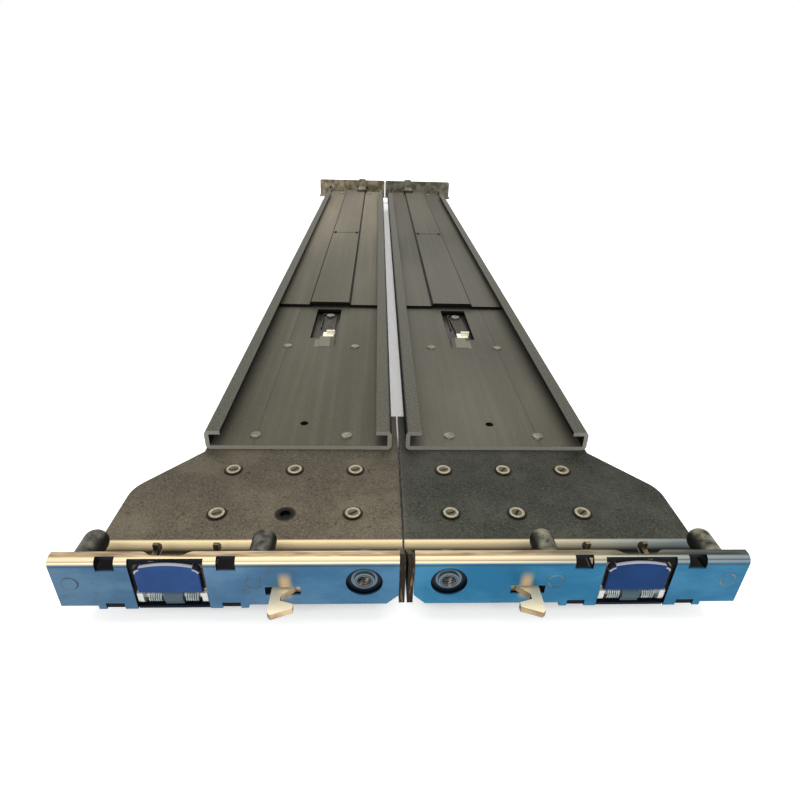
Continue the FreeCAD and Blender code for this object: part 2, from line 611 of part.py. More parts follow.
def front_bracket():
    """Bracket plate that steps down to a shelf behind the flange and carries the lever's hinge knuckle."""
    body = new_body("right_front_bracket")
    profile = [
        ("flange_sheet", "shelf_bottom"),
        ("shelf_end + step_slant", "shelf_bottom"),
        ("shelf_end + step_run + step_slant", "plate_bottom"),
        ("plate_length", "plate_bottom"),
        ("plate_length", "plate_top"),
        ("shelf_end + step_run", "plate_top"),
        ("shelf_end", "shelf_top"),
        ("flange_sheet", "shelf_top"),
    ]
    grow(body, "plate", "side", "plate_left", "plate_width", [profile])
    bends = [("shelf_end + step_run", "plate_top"), ("shelf_end + step_slant", "shelf_bottom")]
    soften(body, "bends", "Fillet", "plate_sheet + bend_outside", edges_along(body, 0, bends))
    hollows = [("shelf_end", "shelf_top"), ("shelf_end + step_run + step_slant", "plate_bottom")]
    soften(body, "bends_inside", "Fillet", "bend_inside", edges_along(body, 0, hollows))
    outside = [
        ("plate_right", "taper_start"),
        ("plate_right + 1", "taper_start"),
        ("plate_right + 1", "plate_length + 1"),
        ("channel_right", "plate_length + 1"),
        ("channel_right", "taper_end"),
    ]
    cut(body, "taper", "top", "plate_bottom - 1", "plate_sheet + 2", [outside])
    corner = edges_along(body, 2, [("plate_right", "taper_start")])
    soften(body, "taper_corner", "Fillet", "taper_round", corner)
    well_side = "knuckle_width / 2"
    wells = [
        box_loop("window_left", f"window_place - {well_side}", "0", "well_depth"),
        box_loop(f"window_place + {well_side}", "window_right", "0", "well_depth"),
    ]
    cut(body, "lever_well", "top", "shelf_bottom - 1", "plate_sheet + 2", wells)
    cover_top = "shelf_bottom - well_sheet"
    cover = box_loop(
        "window_left - well_rim", "window_right + well_rim", "flange_sheet", "well_depth + well_rim"
    )
    grow(body, "well_cover", "top", cover_top, "well_sheet", [cover])
    front = box_loop(
        "window_left + pin_gap", "window_right - pin_gap",
        "flange_sheet - well_lip", "flange_sheet + overlap",
    )
    grow(body, "well_front", "top", cover_top, "well_sheet", [front])
    grow(
        body, "knuckle", "side", f"window_place - {well_side}", "knuckle_width",
        circles=[("hinge_depth", "hinge_top", "knuckle_radius")],
    )
    cut(
        body, "knuckle_bore", "side", f"window_place - {well_side} - 1", "knuckle_width + 2",
        circles=[("hinge_depth", "hinge_top", "hinge_radius")],
    )
    ear = [
        ("flange_sheet", "shelf_top - ear_root"),
        ("shelf_end - 1", "shelf_top - ear_root"),
        ("shelf_end - 1", "shelf_top + ear_tail"),
        ("flange_sheet + ear_slope", "shelf_bottom + ear_height + plate_sheet"),
        ("flange_sheet", "shelf_bottom + ear_height + plate_sheet"),
    ]
    grow(body, "corner_ear", "side", "plate_left", "plate_sheet", [ear])
    ear_face = "plate_left + plate_sheet"
    relief = box_loop(ear_face, f"{ear_face} + ear_relief", "0", "shelf_end - ear_relief")
    cut(body, "ear_relief", "top", "shelf_bottom - 1", "plate_sheet + 2", [relief])
    lug_half = "lug_slot / 2 - overlap"
    lugs = [
        box_loop(f"{place} - ({lug_half})", f"{place} + {lug_half}", "face_sink", "flange_sheet + 1")
        for place in ("slot_inner", "slot_outer")
    ]
    grow(body, "lugs", "top", "shelf_bottom", "plate_sheet", lugs)
    holes = [
        (f"rail_line + ({side}) * plate_rivet_pitch", depth, "rivet_shank")
        for side in (-1, 0, 1)
        for depth in ("plate_rivet_front", "plate_rivet_back")
    ]
    holes += [
        (f"rail_line + ({side}) * web_rivet_pitch / 2", "web_rivet_front", "rivet_shank")
        for side in (-1, 1)
    ]
    cut(body, "rivet_holes", "top", "plate_bottom - 1", "plate_sheet + 2", circles=holes)
    return body


# --- Pieces on the front flange --------------------------------------------------------------------------


def pin_profile(start, seat, tip):
    """Half outline of a locating pin: swaged stub, collar, taper, shank and domed tip."""
    return [
        ("0", start),
        ("pin_stub", start),
        ("pin_stub", seat),
        ("pin_collar", seat),
        ("pin_collar", f"{seat} + pin_collar_length"),
        ("pin_radius", f"{seat} + pin_collar_length * 2"),
        ("pin_radius", f"{tip} - pin_dome", "pin_radius", "left"),
        ("pin_nose", tip),
        ("0", tip),
    ]


def locating_pins():
    """Two dark bullet pins, one rack unit apart, swaged into the mounting flange."""
    body = new_body("right_locating_pins")
    profile = pin_profile("0", "flange_sheet", "pin_length")
    for name, place in (("outer", "outer_pin"), ("inner", "inner_pin")):
        turned(body, name, [profile], place, "pin_level")
    return body


def screw_insert():
    """Threaded insert for the server's captive screw, on a round base behind the flange."""
    body = new_body("right_screw_insert")
    profile = [
        ("thread_radius", "face_sink"),
        ("insert_radius - insert_chamfer", "face_sink"),
        ("insert_radius", "face_sink + insert_chamfer"),
        ("insert_radius", "flange_sheet"),
        ("insert_base", "flange_sheet"),
        ("insert_base", "flange_sheet + insert_sheet"),
        ("insert_radius + insert_body", "flange_sheet + insert_sheet"),
        ("insert_radius + insert_body", "insert_length"),
        ("thread_radius", "insert_length"),
    ]
    turned(body, "insert", [profile], "insert_place", "pin_level")
    return body


def server_hook():
    """Flat hook that catches the server's front latch, on a foot behind the flange."""
    body = new_body("right_server_hook")
    stem_right = "hook_place + hook_stem / 2 + hook_shift"
    stem_left = "hook_place - hook_stem / 2 + hook_shift"
    slot_left = "hook_place - hook_slot / 2"
    back = "flange_sheet + hook_foot"
    outline = [
        (f"{slot_left} + hook_side", back),
        (f"{slot_left} + hook_side", "hook_root"),
        (stem_left, "0 - hook_bend"),
        (stem_left, "0 - hook_reach + barb_back"),
        (f"{stem_left} - hook_barb", "0 - hook_reach + barb_corner"),
        (f"{stem_left} - hook_barb", "0 - hook_reach + barb_front"),
        (f"{stem_right} - hook_chamfer", "0 - hook_reach"),
        (stem_right, "0 - hook_reach + hook_chamfer"),
        (stem_right, back),
    ]
    hook_top = "0 - hook_level + hook_sheet / 2"
    grow(body, "hook", "top", "0 - hook_level - hook_sheet / 2", "hook_sheet", [outline])
    foot_end = "hook_place + hook_slot / 2 - foot_right"
    foot = box_loop(f"{slot_left} - foot_left", foot_end, "shelf_top", hook_top)
    grow(body, "foot", "front", "flange_sheet", "hook_foot", [foot])
    return body


# --- Release lever ---------------------------------------------------------------------------------------


def hinge_pin():
    body = new_body("right_hinge_pin")
    start = "arm_left - ear_sheet / 2 - hinge_overhang"
    grow(
        body, "pin", "side", start, "arm_spacing + ear_sheet + 2 * hinge_overhang",
        circles=[("hinge_depth", "hinge_top", "hinge_radius")],
    )
    return body


def release_lever():
    """Steel lever: two ears on the hinge pin that run back as claw arms, joined by a web."""
    body = new_body("right_release_lever")
    arm_top = "0 - arm_top"
    outline = [
        ("hinge_depth - ear_radius", "hinge_top", "ear_radius", "left"),
        ("hinge_depth", "hinge_top - ear_radius", "ear_radius", "left"),
        ("hinge_depth + ear_radius", "hinge_top"),
        ("hinge_depth + ear_radius + arm_root", "0 - arm_bottom"),
        ("arm_reach - arm_chamfer", "0 - arm_bottom"),
        ("arm_reach", "0 - arm_bottom + arm_chamfer"),
        ("arm_reach", arm_top),
        ("arm_reach - nose_length + 1", f"{arm_top} + nose_rise"),
        ("arm_reach - nose_length", f"{arm_top} + nose_rise"),
        ("arm_reach - nose_length", arm_top),
        ("web_back + arm_slope", arm_top),
        ("web_back", f"{arm_top} + 2"),
        ("web_back", "0 - button_crown - web_crown"),
        ("web_front", "0 - button_crown - web_crown"),
        ("web_front", "0 - button_foot - web_foot"),
        ("hinge_depth - ear_radius", "0 - button_foot - ear_shoulder"),
    ]
    left = "arm_left - ear_sheet / 2"
    grow(body, "ears", "side", left, "arm_spacing + ear_sheet", [outline])
    between = ("arm_left + ear_sheet / 2", "arm_right - ear_sheet / 2")
    behind = box_loop(*between, "web_back", "arm_reach + 1")
    cut(body, "between_arms", "top", "hinge_top - ear_radius - 1", "hinge_level + ear_radius + 1", [behind])
    below = box_loop(*between, "hinge_top - ear_radius - 1", "0 - button_foot")
    cut(body, "below_web", "front", "0 - 1", "web_back + 2", [below])
    cut(
        body, "bores", "side", f"{left} - 1", "arm_spacing + ear_sheet + 2",
        circles=[("hinge_depth", "hinge_top", "hinge_radius + pin_gap")],
    )
    return body


def release_button():
    """Moulded button with an arched top and a shallow dished face, on the front of the lever."""
    body = new_body("right_release_button")
    left = "window_place - button_width / 2"
    right = "window_place + button_width / 2"
    shoulder = "0 - button_crown - (button_arch - sqrt(button_arch ^ 2 - (button_width / 2) ^ 2))"
    outline = [
        (left, "0 - button_foot"),
        (right, "0 - button_foot"),
        (right, shoulder, "button_arch", "left"),
        (left, shoulder),
    ]
    grow(body, "button", "front", "0 - button_proud", "button_thickness", [outline])
    tops = edges_along(body, 1, [(left, shoulder), (right, shoulder)])
    soften(body, "top_corners", "Fillet", "button_corner", tops)
    front = [
        f"Edge{number}"
        for number, edge in enumerate(body.Tip.Shape.Edges, 1)
        if all(abs(v.Y + value_of("button_proud")) < 1e-4 for v in edge.Vertexes)
    ]
    soften(body, "face_edge", "Fillet", "button_edge", front)
    return body


def wire_section(middle, along):
    """Four-sided section of a spring's wire about a point, square to the wire's run."""
    sideways = along.cross(FreeCAD.Vector(1, 0, 0)).normalize() * value_of("spring_wire")
    upwards = along.cross(sideways).normalize() * value_of("spring_wire")
    corners = [middle + sideways, middle + upwards, middle - sideways, middle - upwards]
    return Part.makePolygon(corners + corners[:1])


def torsion_springs():
    """Two wound springs on the hinge pin, one each side of the knuckle, each with two straight legs."""
    length = value_of("spring_pitch * spring_turns")
    beside = value_of("knuckle_width / 2 + spring_wire + spring_side_gap")
    middle = value_of("window_place")
    leg = FreeCAD.Vector(0, value_of("spring_leg"), 0)
    coils = []
    for begin in (middle - beside - length, middle + beside):
        helix = Part.makeHelix(value_of("spring_pitch"), length, value_of("spring_radius"))
        # Wound about z from +x; a quarter turn about y lays its axis along x.
        helix.rotate(FreeCAD.Vector(0, 0, 0), FreeCAD.Vector(0, 1, 0), 90)
        helix.translate(FreeCAD.Vector(begin, value_of("hinge_depth"), value_of("hinge_top")))
        first = helix.Edges[0].firstVertex().Point
        last = helix.Edges[-1].lastVertex().Point
        section = wire_section(first, helix.Edges[0].tangentAt(0))
        coil = Part.Wire(helix.Edges).makePipeShell([section], True, True)
        legs = [Part.Face(wire_section(end, leg)).extrude(leg) for end in (first, last)]
        coils.append(coil.fuse(legs))
    feature = document.addObject("Part::Feature", "right_torsion_springs")
    feature.Label = "right_torsion_springs"
    feature.Shape = Part.makeCompound(coils)
    bind(feature, "Placement.Base.y", "face_y")
    bind(feature, "Placement.Base.z", "top_z")
    return feature


# --- Channels --------------------------------------------------------------------------------------------


def front_channel():
    """Front channel: a web with two walls folded up and lips folded in, a latch window and a stop tab."""
    body = new_body("right_front_channel")
    wall = "channel_sheet"
    section = [
        ("channel_left", "plate_top"),
        ("channel_right", "plate_top"),
        ("channel_right", "channel_top"),
        ("channel_right - channel_lip", "channel_top"),
        ("channel_right - channel_lip", f"channel_top - {wall}"),
        (f"channel_right - {wall}", f"channel_top - {wall}"),
        (f"channel_right - {wall}", "channel_web_top"),
        (f"channel_left + {wall}", "channel_web_top"),
        (f"channel_left + {wall}", f"channel_top - {wall}"),
        ("channel_left + channel_lip", f"channel_top - {wall}"),
        ("channel_left + channel_lip", "channel_top"),
        ("channel_left", "channel_top"),
    ]
    grow(body, "section", "front", "channel_start", "channel_length", [section])
    corners = [
        (side, level)
        for side in ("channel_left", "channel_right")
        for level in ("plate_top", "channel_top")
    ]
    soften(body, "bends", "Fillet", "channel_bend", edges_along(body, 1, corners))
    half = "latch_window_width / 2"
    window_end = "latch_window_start + latch_window_length"
    window = box_loop(f"rail_line - {half}", f"rail_line + {half}", "latch_window_start", window_end)
    holes = [
        (f"rail_line + ({side}) * web_rivet_pitch / 2", depth, "rivet_shank")
        for side in (-1, 1)
        for depth in web_rivet_rows
    ]
    holes.append(("rail_line", "gauge_hole", "gauge_radius"))
    cut(body, "window_and_holes", "top", "plate_top - 1", "channel_sheet + 2", [window], holes)
    tab_end = "stop_tab_start + stop_tab_length"
    wedge = [
        ("stop_tab_start", "channel_web_top"),
        (tab_end, "channel_web_top"),
        (tab_end, "channel_web_top + stop_tab_rise"),
    ]
    grow(body, "stop_tab", "side", "rail_line - stop_tab_side", "stop_tab_width", [wedge])
    return body


def rear_channel():
    """Rear channel that slides inside the front one, with a raised rib along its middle."""
    body = new_body("right_rear_channel")
    rib_left = "rail_line - rib_width / 2"
    rib_right = "rail_line + rib_width / 2"
    section = [
        ("rear_left", "rear_bottom"),
        (rib_left, "rear_bottom"),
        (f"{rib_left} + rib_slope", "rear_bottom + rib_rise"),
        (f"{rib_right} - rib_slope", "rear_bottom + rib_rise"),
        (rib_right, "rear_bottom"),
        ("rear_right", "rear_bottom"),
        ("rear_right", "rear_top"),
        ("rear_right - channel_sheet", "rear_top"),
        ("rear_right - channel_sheet", "rear_web_top"),
        (f"{rib_right} + rib_spread", "rear_web_top"),
        (f"{rib_right} + rib_spread - rib_slope", "rear_web_top + rib_rise"),
        (f"{rib_left} - rib_spread + rib_slope", "rear_web_top + rib_rise"),
        (f"{rib_left} - rib_spread", "rear_web_top"),
        ("rear_left + channel_sheet", "rear_web_top"),
        ("rear_left + channel_sheet", "rear_top"),
        ("rear_left", "rear_top"),
    ]
    grow(body, "section", "front", "rear_start", "rear_channel_end - rear_start", [section])
    corners = [(side, "rear_bottom") for side in ("rear_left", "rear_right")]
    soften(body, "bends", "Fillet", "channel_bend", edges_along(body, 1, corners))
    left, right = "rail_line - lance_width / 2", "rail_line + lance_width / 2"
    start, end = "lance_place - lance_length / 2", "lance_place + lance_length / 2"
    low, high = "lance_place - lance_slot / 2", "lance_place + lance_slot / 2"
    slots = [
        (left, start),
        (f"{left} + lance_slot", start),
        (f"{left} + lance_slot", low),
        (f"{right} - lance_slot", low),
        (f"{right} - lance_slot", start),
        (right, start),
        (right, end),
        (f"{right} - lance_slot", end),
        (f"{right} - lance_slot", high),
        (f"{left} + lance_slot", high),
        (f"{left} + lance_slot", end),
        (left, end),
    ]
    rivets = [
        (f"rail_line + ({side}) * web_rivet_pitch / 2", "rear_base_start + rear_rivet_inset", "rivet_shank")
        for side in (-1, 1)
    ]
    cut(body, "lance", "top", "rear_bottom - 1", "rear_wall + 2", [slots], rivets)
    roots = {"pivot_inner": "rear_bottom", "pivot_outer": "rear_bottom + rib_rise"}
    for place, root in roots.items():
        ear = [
            ("rear_latch_pivot - pivot_ear_radius", f"{root} + channel_sheet / 2"),
            ("rear_latch_pivot + pivot_ear_radius", f"{root} + channel_sheet / 2"),
            ("rear_latch_pivot + pivot_ear_radius", "pivot_level", "pivot_ear_radius", "left"),
            ("rear_latch_pivot", "pivot_level + pivot_ear_radius", "pivot_ear_radius", "left"),
            ("rear_latch_pivot - pivot_ear_radius", "pivot_level"),
        ]
        grow(body, "ear_at_" + place, "side", place, "pivot_ear", [ear])
    cut(
        body, "ear_bores", "side", "pivot_inner - 1", "pivot_outer - pivot_inner + pivot_ear + 2",
        circles=[("rear_latch_pivot", "pivot_level", "pivot_radius")],
    )
    return body


def rear_flange():
    """Rear bracket: a base under the rear channel, a step down to a shelf, and the rear flange."""
    body = new_body("right_rear_flange")
    step_end = "rear_step_place + step_run * rear_step_stretch"
    profile = [
        ("rear_base_start", "rear_base_bottom"),
        ("rear_step_place - step_slant", "rear_base_bottom"),
        (f"{step_end} - step_slant", "shelf_bottom"),
        ("rear_face", "shelf_bottom"),
        ("rear_face", "rear_flange_rise"),
        ("rear_flange_front", "rear_flange_rise"),
        ("rear_flange_front", "shelf_top"),
        (step_end, "shelf_top"),
        ("rear_step_place", "rear_base_top"),
        ("rear_base_start", "rear_base_top"),
    ]
    grow(body, "sheet", "side", "rear_flange_inner", "rear_flange_width", [profile])
    soften(body, "bend", "Fillet", "flange_bend", edges_along(body, 0, [("rear_face", "shelf_bottom")]))
    right = "rear_flange_inner + rear_flange_width"
    base_left = "rear_left + rear_base_inset"
    base_right = "rear_right - rear_base_inset"
    sides = [
        box_loop("rear_flange_inner - 1", base_left, "rear_base_start - 1", step_end),
        box_loop(base_right, f"{right} + 1", "rear_base_start - 1", step_end),
    ]
    cut(body, "base_sides", "top", "shelf_bottom - 1", "shelf_level + 1", sides)
    holes = [(place, "pin_level", "pin_stub") for place in ("rear_pin_outer", "rear_pin_inner")]
    cut(body, "pin_holes", "front", "rear_flange_front - 1", "plate_sheet + 2", circles=holes)
    rivets = [
        (f"rail_line + ({side}) * web_rivet_pitch / 2", "rear_base_start + rear_rivet_inset", "rivet_shank")
        for side in (-1, 1)
    ]
    cut(body, "rivet_holes", "top", "rear_base_bottom - 1", "plate_sheet + 2", circles=rivets)
    corners = [(place, "rear_flange_rise") for place in ("rear_flange_inner", right)]
    names = []
    for number, edge in enumerate(body.Tip.Shape.Edges, 1):
        middle = edge.CenterOfMass
        for across, up in corners:
            if abs(middle.x - value_of(across)) < 0.01 and abs(middle.z - value_of(up)) < 0.01:
                names.append(f"Edge{number}")
    soften(body, "corners", "Fillet", "flange_bend", names)
    return body


def rear_pins():
    """Two pins, one rack unit apart, that point back through the rear post."""
    body = new_body("right_rear_pins")
    profile = pin_profile("rear_flange_front", "rear_face", "rear_face + rear_pin_reach")
    for name, place in (("outer", "rear_pin_outer"), ("inner", "rear_pin_inner")):
        turned(body, name, [profile], place, "pin_level")
    return body


def rear_latch():
    """Spring latch at the rear flange: an arm on a knuckle whose nose hooks over the flange's top edge."""
    body = new_body("right_rear_latch")
    left = "rear_latch_place - rear_latch_width / 2"
    low = "pivot_level - rear_latch_sheet / 2"
    high = "pivot_level + rear_latch_sheet / 2"
    rise = "rear_flange_front - running_gap"
    outline = [
        ("rear_latch_pivot", low),
        (rise, low),
        (rise, "rear_latch_crown - rear_latch_sheet"),
        ("rear_face + rear_latch_nose", "rear_latch_crown - rear_latch_sheet"),
        ("rear_face + rear_latch_nose - rear_latch_sheet", "rear_latch_crown"),
        (f"{rise} - rear_latch_sheet", "rear_latch_crown"),
        (f"{rise} - rear_latch_sheet", high),
        ("rear_latch_pivot", high),
    ]
    grow(body, "arm", "side", left, "rear_latch_width", [outline])
    knuckle = [("rear_latch_pivot", "pivot_level", "pivot_knuckle")]
    grow(body, "knuckle", "side", left, "rear_latch_width", circles=knuckle)
    bore = [("rear_latch_pivot", "pivot_level", "pivot_radius + pin_gap")]
    cut(body, "bore", "side", f"{left} - 1", "rear_latch_width + 2", circles=bore)
    return body


def rear_latch_pin():
    """Cross pin that the rear latch turns on, held in the two ears of the rear channel."""
    body = new_body("right_rear_latch_pin")
    grow(
        body, "pin", "side", "pivot_inner - pivot_end",
        "pivot_outer - pivot_inner + pivot_ear + 2 * pivot_end",
        circles=[("rear_latch_pivot", "pivot_level", "pivot_radius")],
    )
    return body


# --- Ball-bearing slide ----------------------------------------------------------------------------------


def both_halves(corners):
    """A section that is symmetric about the rail's centre line, from the corners of its right half."""
    right = [(f"rail_line + ({c[0]})", *c[1:]) for c in corners]
    left = []
    for i in range(len(corners) - 1, -1, -1):
        arc = corners[i - 1][2:] if i > 0 else ()
        left.append((f"rail_line - ({corners[i][0]})", corners[i][1], *arc))
    return right + left


def outer_slide():
    """Outer member: a channel that opens towards the server, with roll-formed raceways in its walls."""
    body = new_body("right_outer_slide")
    outside = "outer_inside + slide_sheet"
    half = [
        (outside, "slide_top"),
        (outside, "ball_centre + back_half", "back_radius", "right"),
        (outside, "ball_centre - back_half"),
        (outside, "lip_bottom"),
        ("outer_inside", "lip_bottom"),
        ("outer_inside", "ball_centre - race_half", "race_radius", "left"),
        ("outer_inside", "ball_centre + race_half"),
        ("outer_inside", "slide_top - slide_sheet"),
    ]
    grow(body, "section", "front", "slide_start", "slide_length", [both_halves(half)])
    holes = [
        (f"rail_line + ({side}) * web_rivet_pitch / 2", depth, "rivet_shank")
        for side in (-1, 1)
        for depth in web_rivet_rows
    ]
    cut(body, "rivet_holes", "top", "slide_top - slide_sheet - 1", "slide_sheet + 2", circles=holes)
    return body


def middle_slide():
    """Middle member: its walls carry a raceway on each face, for the outer and the inner balls."""
    body = new_body("right_middle_slide")
    half = [
        ("middle_outside", "middle_top"),
        ("middle_outside", "ball_centre + race_half", "race_radius", "left"),
        ("middle_outside", "ball_centre - race_half"),
        ("middle_outside", "middle_bottom"),
        ("middle_inside", "middle_bottom"),
        ("middle_inside", "ball_centre - race_half", "race_radius", "left"),
        ("middle_inside", "ball_centre + race_half"),
        ("middle_inside", "middle_floor"),
    ]
    grow(body, "section", "front", "slide_start", "middle_length", [both_halves(half)])
    return body


def inner_slide():
    """Inner member: lies against the server's side, with raceways on the outside of its walls."""
    body = new_body("right_inner_slide")
    half = [
        ("inner_outside - inner_wall", "slide_face + inner_sheet"),
        ("inner_outside - inner_wall", "inner_top"),
        ("inner_outside", "inner_top"),
        ("inner_outside", "ball_centre + race_half", "race_radius", "left"),
        ("inner_outside", "ball_centre - race_half"),
        ("inner_outside", "slide_face"),
    ]
    grow(body, "section", "front", "slide_start", "inner_length", [both_halves(half)])
    holes = [
        ("rail_line", f"server_hole_first + {number} * server_hole_pitch", "server_hole")
        for number in range(server_holes)
    ]
    cut(body, "server_holes", "top", "slide_face - 1", "inner_sheet + 2", circles=holes)
    return body


def ball_cage(name, start, strip, bridge, foot):
    """A strip cage: a bridge across the slide and two sides with a window for each ball."""
    body = new_body(name)
    half = [
        (f"{strip} + cage_sheet / 2", f"{bridge} + cage_sheet / 2"),
        (f"{strip} + cage_sheet / 2", foot),
        (f"{strip} - cage_sheet / 2", foot),
        (f"{strip} - cage_sheet / 2", f"{bridge} - cage_sheet / 2"),
    ]
    grow(body, "strip", "front", start, "cage_length", [both_halves(half)])
    windows = [
        (f"{start} + cage_edge + {i} * ball_pitch", "ball_centre", "ball_radius + cage_gap")
        for i in range(balls_in_row)
    ]
    cut(
        body, "windows", "side", f"rail_line - {strip} - 1", f"2 * ({strip}) + 2", circles=windows,
    )
    return body


def balls(name, start, strip):
    """The balls of one cage, in two rows."""
    row_of_balls = []
    for side in (-1, 1):
        for i in range(balls_in_row):
            ball = document.addObject("Part::Sphere", f"{name}_{len(row_of_balls) + 1}")
            bind(ball, "Radius", "ball_radius")
            bind(ball, "Placement.Base.x", f"rail_line + ({side}) * ({strip})")
            bind(ball, "Placement.Base.y", f"face_y + {start} + cage_edge + {i} * ball_pitch")
            bind(ball, "Placement.Base.z", "top_z + ball_centre")
            row_of_balls.append(ball)
    group = document.addObject("Part::Compound", name)
    group.Label = name
    group.Links = row_of_balls
    return group


def slide_buffer():
    """Soft block at the back end of the outer member, which stops the middle member."""
    body = new_body("right_slide_buffer")
    block = box_loop(
        "rail_line - middle_outside", "rail_line + middle_outside",
        "middle_bottom + 1", "slide_top - slide_sheet",
    )
    grow(body, "block", "front", "slide_start + middle_length + running_gap", "buffer_length", [block])
    return body


# --- Latch in the channel's window -----------------------------------------------------------------------


def slide_latch(label, shift):
    """Flat latch lever on a pivot, with an upright finger tab; the same way round on both rails."""
    body = new_body(label)
    bind(body, "Placement.Base.x", shift)
    pivot = "rail_line + latch_pivot_side"
    half = "latch_width / 2"
    nose = "latch_tab_place - latch_nose"
    outline = [
        (f"{pivot} + {half}", nose),
        (f"{pivot} + {half}", "latch_pivot_place"),
        (f"{pivot} + {half} - latch_corner", "latch_pivot_place + latch_tail"),
        (f"{pivot} - {half} + latch_corner", "latch_pivot_place + latch_tail"),
        (f"{pivot} - {half}", "latch_pivot_place"),
        (f"{pivot} - {half} + latch_waist", "latch_tab_place + latch_waist_end"),
        (f"{pivot} - {half} + latch_waist", nose),
    ]
    grow(body, "lever", "top", "latch_bottom", "latch_sheet", [outline])
    middle = "rail_line + latch_tab_side"
    tab = box_loop(
        f"{middle} - latch_tab_size / 2", f"{middle} + latch_tab_size / 2",
        "latch_tab_place - latch_sheet / 2", "latch_tab_place + latch_sheet / 2",
    )
    grow(body, "tab", "top", "latch_top", "latch_tab_rise", [tab])
    hole = [(pivot, "latch_pivot_place", "latch_pivot_radius + pin_gap")]
    cut(body, "bore", "top", "latch_bottom - 1", "latch_sheet + 2", circles=hole)
    return body


def latch_pivot(label, shift):
    """Headed rivet that the latch lever turns on."""
    body = new_body(label)
    bind(body, "Placement.Base.x", shift)
    pivot = "rail_line + latch_pivot_side"
    grow(
        body, "shank", "top", "slide_top", "latch_sheet + latch_head_gap + overlap",
        circles=[(pivot, "latch_pivot_place", "latch_pivot_radius")],
    )
    grow(
        body, "head", "top", "slide_top + latch_sheet + latch_head_gap", "latch_head",
        circles=[(pivot, "latch_pivot_place", "latch_pivot_radius + 1")],
    )
    return body


def latch_spring(label, shift):
    """Leaf spring beside the latch lever, standing on the slide."""
    body = new_body(label)
    bind(body, "Placement.Base.x", shift)
    right = "rail_line + latch_pivot_side - latch_width / 2 - running_gap"
    outline = [
        (f"{right} - leaf_sheet", "latch_pivot_place - leaf_length"),
        (right, "latch_pivot_place - leaf_length"),
        (right, "latch_pivot_place + leaf_bend"),
        (f"{right} + leaf_toe", "latch_pivot_place + leaf_end"),
        (f"{right} - leaf_sheet", "latch_pivot_place + leaf_end"),
    ]
    grow(body, "leaf", "top", "slide_top", "leaf_height", [outline])
    return body


# --- Rivets ----------------------------------------------------------------------------------------------


def front_rivets(label, line, spots):
    """Rivets of a front bracket, about its rail's centre line; a spot is (side of the line, row)."""
    body = new_body(label)
    places_across = [(f"{line} + ({side}) * plate_rivet_pitch", depth) for side, depth in spots]
    shanks = [(x, y, "rivet_shank") for x, y in places_across]
    heads = [(x, y, "rivet_radius") for x, y in places_across]
    grow(body, "shanks", "top", "plate_bottom", "plate_sheet", circles=shanks)
    grow(body, "heads", "top", "plate_top", "rivet_head", circles=heads)
    return body


def web_rivets():
    """Rivets that hold the slide to the front channel, shouldered where they span the gap between them."""
    body = new_body("right_web_rivets")
    sides = [f"rail_line + ({side}) * web_rivet_pitch / 2" for side in (-1, 1)]
    shanks = [(x, y, "rivet_shank") for x in sides for y in web_rivet_rows]
    shoulders = [(x, y, "web_shoulder") for x in sides for y in web_rivet_rows[1:]]
    heads = [(x, y, "web_rivet_radius") for x in sides for y in web_rivet_rows[:-1]]
    bottom = "slide_top - slide_sheet"
    grow(body, "shanks", "top", bottom, "channel_web_top - (slide_top - slide_sheet)", circles=shanks)
    grow(body, "shoulders", "top", "slide_top", "plate_sheet", circles=shoulders)
    grow(body, "heads", "top", "channel_web_top", "web_rivet_head", circles=heads)
    return body


def rear_rivets():
    """Rivets that hold the rear bracket under the rear channel."""
    body = new_body("right_rear_rivets")
    depth = "rear_base_start + rear_rivet_inset"
    sides = [f"rail_line + ({side}) * web_rivet_pitch / 2" for side in (-1, 1)]
    shanks = [(x, depth, "rivet_shank") for x in sides]
    heads = [(x, depth, "rivet_radius") for x in sides]
    grow(body, "shanks", "top", "rear_base_bottom", "plate_sheet + channel_sheet", circles=shanks)
    grow(body, "heads", "top", "rear_web_top", "rivet_head", circles=heads)
    return body


# --- Both rails ------------------------------------------------------------------------------------------


def mirror_image(piece):
    """The left rail's copy of a piece, mirrored in the plane midway between the rails."""
    label = piece.Label.replace("right_", "left_")
    image = document.addObject("Part::Mirroring", label)
    image.Label = label
    image.Source = piece
    image.Base = FreeCAD.Vector(0, 0, 0)
    image.Normal = FreeCAD.Vector(1, 0, 0)
    return image


handed = [
    mounting_flange(),
    front_bracket(),
    locating_pins(),
    screw_insert(),
    server_hook(),
    hinge_pin(),
    release_lever(),
    release_button(),
    torsion_springs(),
    front_channel(),
    web_rivets(),
    rear_channel(),
    rear_flange(),
    rear_pins(),
    rear_rivets(),
    rear_latch(),
    rear_latch_pin(),
    outer_slide(),
    middle_slide(),
    inner_slide(),
    ball_cage("right_outer_cage", "outer_cage_start", "outer_ball", "outer_bridge", "outer_cage_foot"),
    ball_cage("right_inner_cage", "inner_cage_start", "inner_ball", "inner_bridge", "inner_cage_foot"),
    balls("right_outer_balls", "outer_cage_start", "outer_ball"),
    balls("right_inner_balls", "inner_cage_start", "inner_ball"),
    slide_buffer(),
]
pieces = handed + [mirror_image(piece) for piece in handed]
rivet_spots = [(side, depth) for side in (-1, 0, 1) for depth in ("plate_rivet_front", "plate_rivet_back")]
pieces.append(front_rivets("right_front_rivets", "rail_line", rivet_spots))
rivet_spots.remove((0, "plate_rivet_front"))
pieces.append(front_rivets("left_front_rivets", "0 - rail_line", rivet_spots))
for side, shift in (("right_", "0"), ("left_", "0 - 2 * rail_line")):
    pieces.append(slide_latch(side + "slide_latch", shift))
    pieces.append(latch_pivot(side + "latch_pivot", shift))
    pieces.append(latch_spring(side + "latch_spring", shift))
document.recompute()

